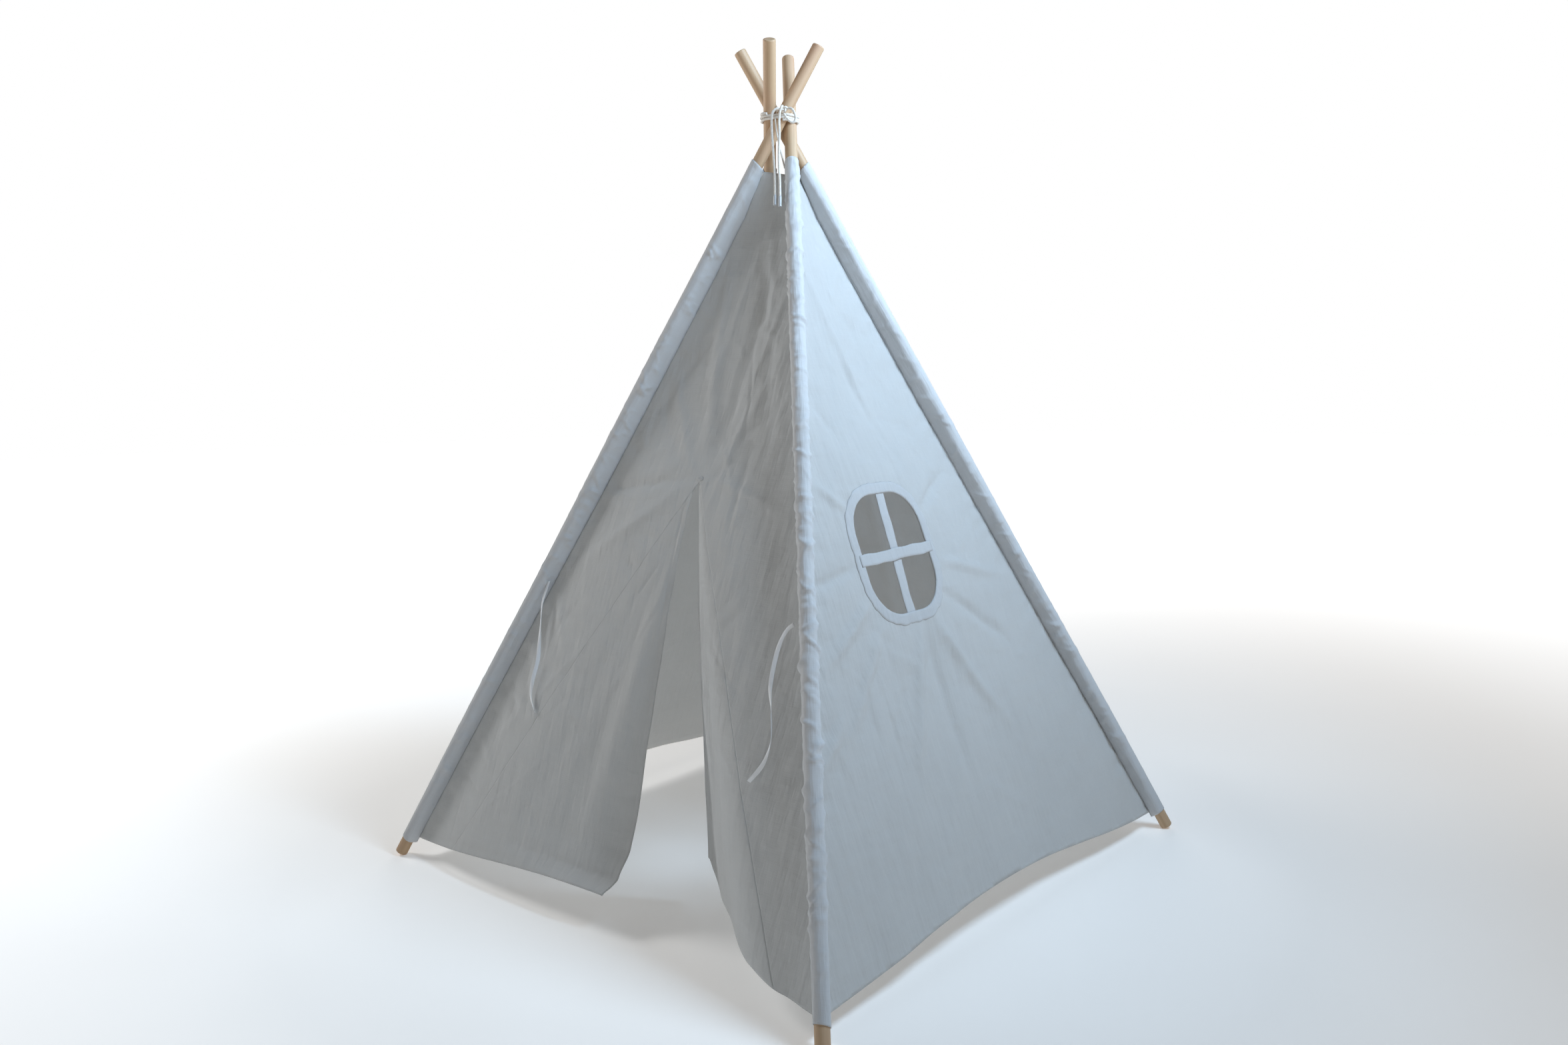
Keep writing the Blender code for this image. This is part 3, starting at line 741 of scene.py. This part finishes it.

# Folds listed one by one: x and s of the start and of the end in metres; width, height, bow in mm.
DOOR_FOLDS = (
    (0.015, 0.86, -0.05, 1.3, 16, 4, 10), (0.03, 0.87, 0.055, 1.38, 14, -3.5, -8),
    (-0.01, 0.85, -0.16, 1.1, 12, 2.8, 6), (0.045, 0.85, 0.14, 1.12, 12, 2.6, -6),
    (0, 0.84, -0.3, 0.8, 10, -2.4, 6), (-0.02, 0.82, -0.27, 0.64, 14, 3.4, 8),
    (0.05, 0.84, 0.25, 0.78, 10, 2.2, 4), (-0.12, 1.02, -0.3, 0.66, 14, 3, -10),
    (-0.05, 1.12, -0.24, 0.86, 12, -2.8, 6), (0.02, 1.36, 0.1, 1.02, 12, 3.4, 6),
    (0.03, 1.38, -0.02, 1, 10, 2.8, -6), (0.02, 1.34, 0.16, 0.9, 16, -3.6, -10),
    (-0.33, 0.62, -0.22, 0.47, 10, 3, 4), (-0.34, 0.58, -0.26, 0.42, 8, -2.6, -4),
    (-0.36, 0.5, -0.25, 0.36, 9, 2.6, 5), (-0.4, 0.44, -0.3, 0.3, 10, -2.6, 3),
    (-0.17, 0.98, -0.24, 0.8, 6, 2.2, 3), (-0.13, 1.06, -0.18, 0.9, 5, 2, -2),
    (-0.2, 0.9, -0.3, 0.74, 6, -2, 3), (0.08, 1, 0.06, 0.78, 7, 1.8, 4),
    (0.12, 0.92, 0.13, 0.7, 6, -1.8, -3), (0.1, 1.2, 0.07, 1.02, 6, 2, 3),
    (-0.38, 0.38, -0.24, 0.34, 8, 2.2, 3), (-0.44, 0.28, -0.34, 0.22, 9, 2.2, 3),
    (-0.46, 0.2, -0.36, 0.16, 8, -2, 2),
)
WINDOW_FOLDS = (
    (-0.06, 1.3, 0.03, 0.86, 12, 2.6, 8), (-0.02, 1.1, 0.05, 0.84, 10, -2.2, -6),
    (-0.05, 0.55, -0.16, 0.3, 12, 3.6, 6), (-0.03, 0.54, -0.02, 0.24, 12, -3.4, 4),
    (0, 0.56, 0.16, 0.32, 14, 3.6, -6), (0.05, 0.6, 0.26, 0.46, 12, -2.8, 6),
    (0.06, 0.66, 0.3, 0.6, 10, 2.6, 4), (0.06, 0.76, 0.22, 0.84, 10, -2.4, 4),
    (-0.16, 0.62, -0.32, 0.52, 10, 3, 4), (-0.17, 0.68, -0.33, 0.66, 8, -2.4, 3),
    (-0.15, 0.78, -0.27, 0.9, 9, 2.4, 3), (-0.15, 0.57, -0.3, 0.4, 10, 2.8, 4),
    (-0.3, 0.44, -0.44, 0.34, 12, 3, 4),
)
PLAIN_FOLDS = (
    (0.02, 1.36, -0.1, 0.9, 16, 3.6, 8), (-0.01, 1.34, 0.12, 0.86, 16, -3.4, -8),
    (0.1, 0.9, 0.3, 0.4, 20, 4, 10), (-0.12, 0.8, -0.32, 0.36, 20, -4, 10),
    (0, 0.8, 0.04, 0.3, 22, 3.6, -10),
)
# One entry for each face: door, window, back, side.
FACE_FOLDS = (DOOR_FOLDS, WINDOW_FOLDS, PLAIN_FOLDS, PLAIN_FOLDS)
FOLD_GAIN = (1.2, 2.3, 1.5, 1.5)
FACE_SEEDS = (101, 211, 307, 401)
CREASE_COUNT = 120


def random_creases(x, s, face):
    """Fine creases left from packing."""
    dice = np.random.RandomState(FACE_SEEDS[face])
    total = np.zeros(x.shape)
    for _ in range(CREASE_COUNT):
        s0 = dice.uniform(0.1, 1.3)
        half = FOOT_HALF * (1 - s0 / SLOPE_LENGTH)
        x0 = dice.uniform(-0.85, 0.85) * half
        turn = dice.normal(pi / 2, 0.7)
        length = dice.uniform(0.05, 0.22)
        end = (x0 + length * cos(turn), s0 + length * sin(turn))
        width = dice.uniform(0.004, 0.011)
        height = dice.choice([-1, 1]) * dice.uniform(0.0006, 0.0019)
        total += crease(x, s, (x0, s0), end, width, height, dice.uniform(-0.01, 0.01))
    return total


def side_puckers(x, s, face):
    """Short folds square to each stitch line, where the sleeves are gathered."""
    total = np.zeros(x.shape)
    for side, edge in enumerate(EDGES[face]):
        away = np.abs(x - edge.across(s))
        gather = ripple(np.zeros_like(s), s + 0.35 * away, FACE_SEEDS[face] + 7 + side, 0.035, 0.0013)
        total += gather * np.exp(-((away / 0.045) ** 2)) * smooth_step(away, 0, 0.012)
    return total


def drawn_between(face, x, s, from_left, from_right):
    """The cloth drawn from stitch line to stitch line, and loose of them beside the slit."""
    left, right = EDGES[face]
    width = np.maximum(right.across(s) - left.across(s), 0.01)
    reach = np.minimum(0.16, 0.45 * width)
    near_left = left.out(s) * (1 - smooth_step(from_left / reach, 0, 1))
    near_right = right.out(s) * (1 - smooth_step(from_right / reach, 0, 1))
    share = from_left / np.maximum(from_left + from_right, 1e-6)
    taut = left.out(s) * (1 - share) + right.out(s) * share
    lifted = 1 - smooth_step(s, SLIT_TOP - 0.08, SLIT_TOP + 0.15) if face == DOOR else 0
    if face == WINDOW:
        taut = taut * (1 - np.exp(-((np.clip(window_distance(x, s), 0, None) / 0.13) ** 2)))
    return taut * (1 - lifted) + (near_left + near_right) * lifted


def relief(face, x, s):
    """How far out each point of a face's cloth stands from the plane of its pole axes."""
    x, s = np.asarray(x, float), np.asarray(s, float)
    left, right = EDGES[face]
    from_left = np.clip(x - left.across(s), 0, None)
    from_right = np.clip(right.across(s) - x, 0, None)
    w = drawn_between(face, x, s, from_left, from_right)
    calm = smooth_step(from_left, 0, 0.05) * smooth_step(from_right, 0, 0.05)
    free = ripple(x, s, FACE_SEEDS[face] + 1, 0.34, 0.0022, 1.8)
    free = free + ripple(x, s, FACE_SEEDS[face] + 2, 0.11, 0.0007, 1.6)
    for x0, s0, x1, s1, *sizes in FACE_FOLDS[face]:
        sizes = (size / 1000 for size in sizes)
        free = free + FOLD_GAIN[face] * crease(x, s, (x0, s0), (x1, s1), *sizes)
    free = free + random_creases(x, s, face)
    if face == WINDOW:
        free = free * (0.35 + 0.65 * smooth_step(window_distance(x, s), 0, 0.03))
    w = w + free * calm + side_puckers(x, s, face)
    hem_roll = 0.001 * np.exp(-(((s - hem_height(x) - 0.013) / 0.0035) ** 2))
    return w - hem_roll


def window_distance(x, s):
    """Distance out from the edge of the window's opening, negative inside it."""
    dx = np.maximum(np.abs(np.asarray(x) - WINDOW_X) - STRAIGHT_W, 0)
    ds = np.maximum(np.abs(np.asarray(s) - WINDOW_S) - STRAIGHT_H, 0)
    return np.hypot(dx, ds) - OPENING_CORNER


# --- Sheets ---
RIGHT_HEM_LIFT = ((SLIT_X, 0.062), (0.2, 0.044), (0.38, 0.02), (0.46, 0.008), (0.53, 0))
ROW_COUNT = 232
COLUMN_COUNT = 150
CLOTH = 0.0011
TAPE_THICKNESS = 0.0006


def sheet_rows(count):
    """Rows that crowd at the hem, as shares of the height."""
    share = np.linspace(0, 1, count)
    return 0.75 * share + 0.25 * share**1.7


def door_hem(x):
    """The door's hem, drawn up at the right flap's corner."""
    lift = blend_between(x, RIGHT_HEM_LIFT) * (np.asarray(x) > SLIT_X - 1e-6)
    return hem_height(x) + lift


def strip(hem, left_x, right_x, shares, top, columns):
    """Face coordinates of a patch between two side lines, from its hem up to top."""
    u = np.linspace(0, 1, columns)[None, :]
    v = shares[:, None]
    s = HEM_LOW + (top - HEM_LOW) * v + 0 * u
    for _ in range(4):
        x = left_x(s) * (1 - u) + right_x(s) * u
        s = hem(x) + (top - hem(x)) * v
    return x, s


def squash_flat(made, body):
    """The sheet gets a mesh of its own and rides on its frame."""
    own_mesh(made)
    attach(made, body)


def fold_between(made):
    """Bakes the piece's placement into its mesh and reads its points back."""
    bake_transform(made)
    place = np.empty(len(made.data.vertices) * 3)
    made.data.vertices.foreach_get("co", place)
    place = place.reshape(-1, 3)


def add_canvas(name, node, points, faces, x, s):
    """A sheet of canvas; x and s say where its points lie on the flat cloth."""
    made = add_mesh(name, points, faces, CANVAS, np.stack([x, s], -1))
    thicken(made, CLOTH)
    stand_for(made, node)
    return made


def add_plain_sheet(face, node, name):
    left, right = EDGES[face]
    shares = sheet_rows(ROW_COUNT)
    x, s = strip(hem_height, left.across, right.across, shares, SHEET_TOP, COLUMN_COUNT)
    points = on_face(face, x, s, relief(face, x, s))
    return add_canvas(name, node, points, grid_faces(ROW_COUNT, COLUMN_COUNT), x, s)


def add_back_and_side():
    made = add_plain_sheet(BACK, "back_sheet", "back_canvas")
    squash_flat(made, REAR)
    made = add_plain_sheet(SIDE, "side_sheet", "side_canvas")
    fold_between(made)


def window_triangles(step=0.0065):
    """The window sheet as triangles, in its face's coordinates."""
    outline, hole = window_outline(), rounded_opening()
    low, high = np.min(outline, 0), np.max(outline, 0)
    xs = np.arange(low[0] + step, high[0], step)
    ss = np.arange(low[1] + step, high[1], step)
    grid_x, grid_s = np.meshgrid(xs, ss)
    grid_x = grid_x + (np.arange(len(ss)) % 2 * step / 2)[:, None]
    left, right = EDGES[WINDOW]
    room = 0.55 * step
    inside = (grid_x > left.across(grid_s) + room) & (grid_x < right.across(grid_s) - room)
    inside &= (grid_s > hem_height(grid_x) + room) & (grid_s < SHEET_TOP - room)
    inside &= window_distance(grid_x, grid_s) > room
    points = [Vector(p) for p in np.concatenate([outline, hole])]
    points += [Vector(p) for p in np.stack([grid_x[inside], grid_s[inside]], -1)]
    n, m = len(outline), len(hole)
    edges = [(i, (i + 1) % n) for i in range(n)] + [(n + i, n + (i + 1) % m) for i in range(m)]
    found = delaunay_2d_cdt(points, edges, [], 0, 1e-6)
    place = np.array([tuple(p) for p in found[0]])
    faces = []
    for tri in found[2]:
        middle = place[list(tri)].mean(0)
        keeps = window_distance(middle[0], middle[1]) > -1e-5
        keeps &= middle[1] > hem_height(middle[0]) - 1e-5
        keeps &= left.across(middle[1]) - 1e-4 < middle[0] < right.across(middle[1]) + 1e-4
        if keeps:
            faces.append(tuple(tri))
    return place, faces


def rounded_opening(grow=0, steps=14, straight=9):
    """Points round the window's opening, grown outwards."""
    signs = ((1, 1), (-1, 1), (-1, -1), (1, -1))
    r = OPENING_CORNER + grow
    found = []
    for quarter, (sx, sy) in enumerate(signs):
        for i in range(steps):
            turn = pi / 2 * (quarter + i / (steps - 1))
            found.append((sx * STRAIGHT_W + r * cos(turn), sy * STRAIGHT_H + r * sin(turn)))
        nx, ny = signs[(quarter + 1) % 4]
        a = found[-1]
        turn = pi / 2 * (quarter + 1)
        b = (nx * STRAIGHT_W + r * cos(turn), ny * STRAIGHT_H + r * sin(turn))
        for i in range(1, straight):
            t = i / straight
            found.append((a[0] + (b[0] - a[0]) * t, a[1] + (b[1] - a[1]) * t))
    return np.array(found) + (WINDOW_X, WINDOW_S)


def window_outline(step=0.008):
    left, right = EDGES[WINDOW]
    bottom = [(x, hem_height(x)) for x in np.arange(left.across(HEM_LOW), right.across(HEM_LOW), step)]
    side_s = np.arange(HEM_LOW, SHEET_TOP, step)
    right_side = [(right.across(s), s) for s in side_s]
    left_side = [(left.across(s), s) for s in side_s[::-1][:-1]]
    top = [(edge.across(SHEET_TOP), SHEET_TOP) for edge in (right, left)]
    return np.array([*bottom, *right_side, *top, *left_side])


def add_window_sheet():
    place, faces = window_triangles()
    x, s = place.T
    points = on_face(WINDOW, x, s, relief(WINDOW, x, s))
    made = add_canvas("window_canvas", "window_sheet", points, faces, x, s)
    fold_between(made)


# Across the binding: distance out from the opening's edge, and height over the sheet.
BINDING_PROFILE = millimetres(
    (-1, -1.6), (-1.6, 0), (-0.8, 1.6), (1.2, 2.1), (5, 1.9), (9.5, 2.1), (15, 1.9), (18, 1.6),
    (19, 0.4),
)
STITCHED_RINGS = (6, 7, 8)


def add_binding():
    """The tape round the opening: folded over its edge, sewn down, slightly puckered."""
    rings = np.array([rounded_opening(grow, 22, 12) for grow, _ in BINDING_PROFILE])
    count = rings.shape[1]
    turn = np.linspace(0, 2 * pi, count, endpoint=False)
    edge_wave = 0.0007 * np.sin(17 * turn + 1) + 0.0005 * np.sin(31 * turn) + 0.0004 * np.sin(47 * turn)
    for i in STITCHED_RINGS:
        outward = rings[i] - rings[4]
        outward = outward / np.linalg.norm(outward, axis=1)[:, None]
        rings[i] = rings[i] + outward * edge_wave[:, None]
    pucker = 0.00035 * np.sin(61 * turn) + 0.0003 * np.sin(83 * turn + 2)
    points = []
    for (grow, out), ring in zip(BINDING_PROFILE, rings, strict=True):
        x, s = ring.T
        w = relief(WINDOW, x, s) + out + pucker * (1 if 0 < grow < 0.018 else 0.3)
        points.append(on_face(WINDOW, x, s, w))
    faces = grid_faces(len(rings), count, closed=True)
    made = add_mesh("window_binding_tape", points, faces, TAPE, rings)
    thicken(made, TAPE_THICKNESS)
    stand_for(made, "window_binding")
    fold_between(made)


# A bar's section, as shares of its half width and of its half thickness.
BAR_PROFILE = ((-1, 0), (-0.97, 0.9), (-0.6, 1), (0, 0.93), (0.6, 1), (0.97, 0.9))
BAR_PROFILE += ((1, 0), (0.97, -0.9), (0.6, -1), (0, -1), (-0.6, -1), (-0.97, -0.9))
BAR_ROWS = 60
BAR_LAP = 0.008


def add_bar(name, node, start, end, width, out, seed):
    """A folded tape bar: two layers with rounded edges, a little slack."""
    start, end = np.array(start), np.array(end)
    length = np.linalg.norm(end - start)
    along = (end - start) / length
    aside = np.array([-along[1], along[0]])
    t = np.linspace(0, 1, BAR_ROWS)
    phase = np.random.RandomState(seed).uniform(0, 6, 4)
    wave = 0.0006 * np.sin(11 * t + phase[0]) + 0.0004 * np.sin(29 * t + phase[1])
    slack = 0.0012 * np.sin(pi * t) * np.sin(7 * t + phase[2])
    half = width / 2 + 0.0005 * np.sin(19 * t + phase[3])
    base = relief(WINDOW, *start) * (1 - t) + relief(WINDOW, *end) * t
    middle = start + along * (t * length)[:, None] + aside * wave[:, None]
    wide, thick = np.array(BAR_PROFILE).T
    place = middle[:, None] + aside * (half[:, None] * wide)[..., None]
    w = (base + out + slack)[:, None] + 0.0009 * thick
    points = on_face(WINDOW, place[..., 0], place[..., 1], w)
    made = add_mesh(name, points, capped_tube(BAR_ROWS, len(wide)), TAPE, place)
    stand_for(made, node)
    fold_between(made)


def add_window_bars():
    half_w, half_h = OPENING[0] / 2 + BAR_LAP, OPENING[1] / 2 + BAR_LAP
    left = (WINDOW_X - half_w, WINDOW_S - 0.005)
    right = (WINDOW_X + half_w, WINDOW_S - 0.002)
    add_bar("window_level_tape", "window_bar_level", left, right, 0.0215, 0.0026, 5)
    low = (WINDOW_X - 0.006, WINDOW_S - half_h)
    high = (WINDOW_X + 0.005, WINDOW_S + half_h)
    add_bar("window_upright_tape", "window_bar_upright", low, high, 0.0235, -0.0012, 9)


# --- Door ---
def fold_x(side, s):
    """Where a flap folds, in the door's coordinates: along its swing joint's axis."""
    joint = joints["door_left_swing" if side < 0 else "door_right_swing"]
    place = np.array(joint["pos_m"])
    rise = to_face(DOOR, place + joint["axis"]) - to_face(DOOR, place)
    return SLIT_X + (s - SLIT_TOP) * (rise[0] / rise[1])


LOWER_ROWS, UPPER_ROWS, HALF_COLUMNS = 150, 96, 74


def door_grid():
    """The door's two halves side by side, first beside the flaps, then above them."""
    left, right = EDGES[DOOR]
    shares = sheet_rows(LOWER_ROWS)
    lx, ls = strip(door_hem, left.across, partial(fold_x, -1), shares, SLIT_TOP, HALF_COLUMNS)
    rx, rs = strip(door_hem, partial(fold_x, 1), right.across, shares, SLIT_TOP, HALF_COLUMNS)
    v = np.linspace(0, 1, UPPER_ROWS)[1:, None]
    s = SLIT_TOP + (SHEET_TOP - SLIT_TOP) * v + np.zeros((1, HALF_COLUMNS))
    u = np.linspace(0, 1, HALF_COLUMNS)[None, :]
    left_x = np.vstack([lx, left.across(s) * (1 - u) + SLIT_X * u])
    right_x = np.vstack([rx, SLIT_X * (1 - u) + right.across(s) * u])
    return np.hstack([left_x, right_x]), np.hstack([np.vstack([ls, s]), np.vstack([rs, s])])


def add_door_sheet():
    """The door's sheet, open between its halves up to the slit's top."""
    x, s = door_grid()
    rows, columns = x.shape
    faces = []
    for face in grid_faces(rows, columns):
        row, column = divmod(face[0], columns)
        if column != HALF_COLUMNS - 1 or row >= LOWER_ROWS - 1:
            faces.append(face)
    made = add_canvas("door_canvas", "door_sheet", on_face(DOOR, x, s, relief(DOOR, x, s)), faces, x, s)
    clean = bmesh.new()
    clean.from_mesh(made.data)
    bmesh.ops.remove_doubles(clean, verts=clean.verts[:], dist=1e-5)
    clean.to_mesh(made.data)
    clean.free()
    squash_flat(made, FRONT)


# How far each free edge hangs in, as degrees about the fold line against s.
LEFT_HANG = ((0.05, 2), (0.075, 4), (0.11, 13), (0.16, 17.5), (0.22, 18), (0.36, 15.5))
LEFT_HANG += ((0.5, 11.3), (0.62, 7.6), (0.72, 5), (0.79, 7), (0.84, 12))
RIGHT_HANG = ((0.05, 37), (0.25, 36.8), (0.42, 38), (0.58, 41), (0.72, 50))
RIGHT_HANG += ((0.79, 66), (0.84, 70))
FLAP_GRID = (150, 90)  # rows and columns
TACK_GRID = (6, 24)  # rings and points
BEND_REACH = 0.075  # how far from the fold line the cloth takes to turn


def flap_shape(side, x, s):
    """The hanging flap: cloth turned in about the fold line, with falling folds."""
    top = np.array([SLIT_X, SLIT_TOP])
    down = np.array([fold_x(side, HEM_LOW), HEM_LOW]) - top
    down = down / np.linalg.norm(down)
    inward = np.array([-down[1], down[0]]) * -side
    dx, ds = x - top[0], s - top[1]
    along = dx * down[0] + ds * down[1]
    reach = np.clip(dx * inward[0] + ds * inward[1], 0, None)
    edge = np.maximum((SLIT_TOP - s) * abs(inward[0]), 1e-4)
    share = np.clip(reach / edge, 0, 1)
    turned = 1 - np.exp(-reach / BEND_REACH)
    full = 1 - np.exp(-edge / BEND_REACH)
    hang = np.radians(blend_between(s, LEFT_HANG if side < 0 else RIGHT_HANG))
    turn = hang * (turned / full if side > 0 else share**0.9)
    polar = np.arctan2(dx, -(ds - 0.02))
    waves = 0.005 * np.sin(polar * 19 + 0.8) + 0.0028 * np.sin(polar * 37 + 2.1)
    fall = smooth_step(SLIT_TOP - s, 0.03, 0.5)
    fall = waves * fall * smooth_step(share, 0.05, 0.35) * smooth_step(s, 0, 0.2)
    flat = reach * np.cos(turn)
    new_x = top[0] + down[0] * along + inward[0] * flat
    new_s = top[1] + down[1] * along + inward[1] * flat
    return new_x, new_s, -(reach * np.sin(turn) + fall)


def slit_edge(side, s):
    """A flap's free edge: the left one stands back from the slit near its top."""
    below = SLIT_TOP - s
    back = 0.01 * smooth_step(below, 0, 0.012) * (1 - smooth_step(below, 0.05, 0.35))
    return SLIT_X - (back if side < 0 else 0 * s)


def add_flap(side, node):
    fold, slit = partial(fold_x, side), partial(slit_edge, side)
    ends = (fold, slit) if side < 0 else (slit, fold)
    hem = door_hem if side > 0 else hem_height
    rows, columns = FLAP_GRID
    x, s = strip(hem, *ends, sheet_rows(rows)[:-1], SLIT_TOP, columns)
    new_x, new_s, depth = flap_shape(side, x, s)
    from_edge = np.abs(x - slit(s))
    stitched = 0.001 * np.exp(-(((from_edge - 0.011) / 0.0028) ** 2))
    points = on_face(DOOR, new_x, new_s, depth + relief(DOOR, x, s) - stitched)
    made = add_canvas(node + "_canvas", node, points, grid_faces(rows - 1, columns), x, s)
    squash_flat(made, node + "_body")


def add_tack():
    """The stitched patch at the slit's top, as a raised oval of thread."""
    rings, count = TACK_GRID
    size = 1 - np.arange(rings)[:, None] / rings
    turn = 2 * pi * np.arange(count)[None, :] / count
    x = SLIT_X + 0.0065 * size * np.cos(turn)
    s = SLIT_TOP + 0.006 + 0.0045 * size * np.sin(turn)
    w = 0.0009 + 0.0009 * np.sqrt(1 - size**2) + 0.0002 * np.sin(9 * turn)
    points = on_face(DOOR, x, s, relief(DOOR, x, s) + w)
    faces = grid_faces(rings, count, closed=True)
    faces.append(tuple((rings - 1) * count + c for c in range(count)))
    made = add_mesh("slit_bar_tack", points, faces, TAPE, np.stack([x, s], -1))
    thicken(made, TAPE_THICKNESS)
    stand_for(made, "slit_tack", FRONT)


# --- Tie ribbons ---
RIBBON_W = 0.0075
RIBBON_TOP = 0.604
# A ribbon's section, as shares of its half width and of its half thickness.
RIBBON_PROFILE = ((-1, 0), (-0.9, 1), (0, 1.1), (0.9, 1), (1, 0), (0.9, -1), (0, -1.1), (-0.9, -1))


def sheet_side(side):
    """x of the door sheet's CAD side at the ribbons' height."""
    place = axis_at_height("front_left" if side < 0 else "front_right", RIBBON_TOP * cos(SLOPE))
    return float(place[0]) - side * 0.0147


def ribbon_line(side, route):
    """World points along a ribbon's middle, just clear of the cloth."""
    places = []
    for inward, down, out in route:
        x, s = sheet_side(side) - side * inward, RIBBON_TOP + down
        w = max(float(relief(DOOR, np.array([x]), np.array([s]))[0]), 0) + 0.003 + out
        places.append(Vector(on_face(DOOR, x, s, w)))
    return smooth_route(places, 0.004)


def add_ribbon(side, name, route):
    """A narrow woven tape, sewn at its top and twisting a little as it hangs."""
    points = ribbon_line(side, route)
    last = len(points) - 1
    sides = len(RIBBON_PROFILE)
    normal = Vector(on_face(DOOR, 0, 0, 1) - on_face(DOOR, 0, 0, 0))
    rows = []
    for i, place in enumerate(points):
        ahead = (points[min(i + 1, last)] - points[max(i - 1, 0)]).normalized()
        share = i / last
        twist = (0.9 if side < 0 else -1.1) * sin(2.4 * pi * share) * smooth_step(share, 0.05, 0.4)
        aside = (Matrix.Rotation(twist, 3, ahead) @ ahead.cross(normal)).normalized()
        up = aside.cross(ahead)
        for a, b in RIBBON_PROFILE:
            rows.append(place + aside * (a * RIBBON_W / 2) + up * (b * 0.0004))
    cloth = [(0.001 * (i % sides), 0.004 * (i // sides)) for i in range(len(rows))]
    faces = capped_tube(last + 1, sides)
    made = add_mesh("tie_tape_" + name, [tuple(r) for r in rows], faces, RIBBON, cloth)
    stand_for(made, "tie_ribbon_" + name, FRONT)


# --- The whole scene ---
def build():
    add_camera()
    add_cords()
    add_studio()
    for corner in CORNERS:
        repaint("pole_" + corner, wood_material(corner))
    add_wraps()
    add_knot()
    for corner in CORNERS:
        add_sleeve(corner)
    add_back_and_side()
    add_window_sheet()
    add_binding()
    add_window_bars()
    add_door_sheet()
    add_flap(-1, "door_flap_left")
    add_flap(1, "door_flap_right")
    add_tack()
    add_ribbon(-1, "left", LEFT_RIBBON_ROUTE)
    add_ribbon(1, "right", RIGHT_RIBBON_ROUTE)


build()
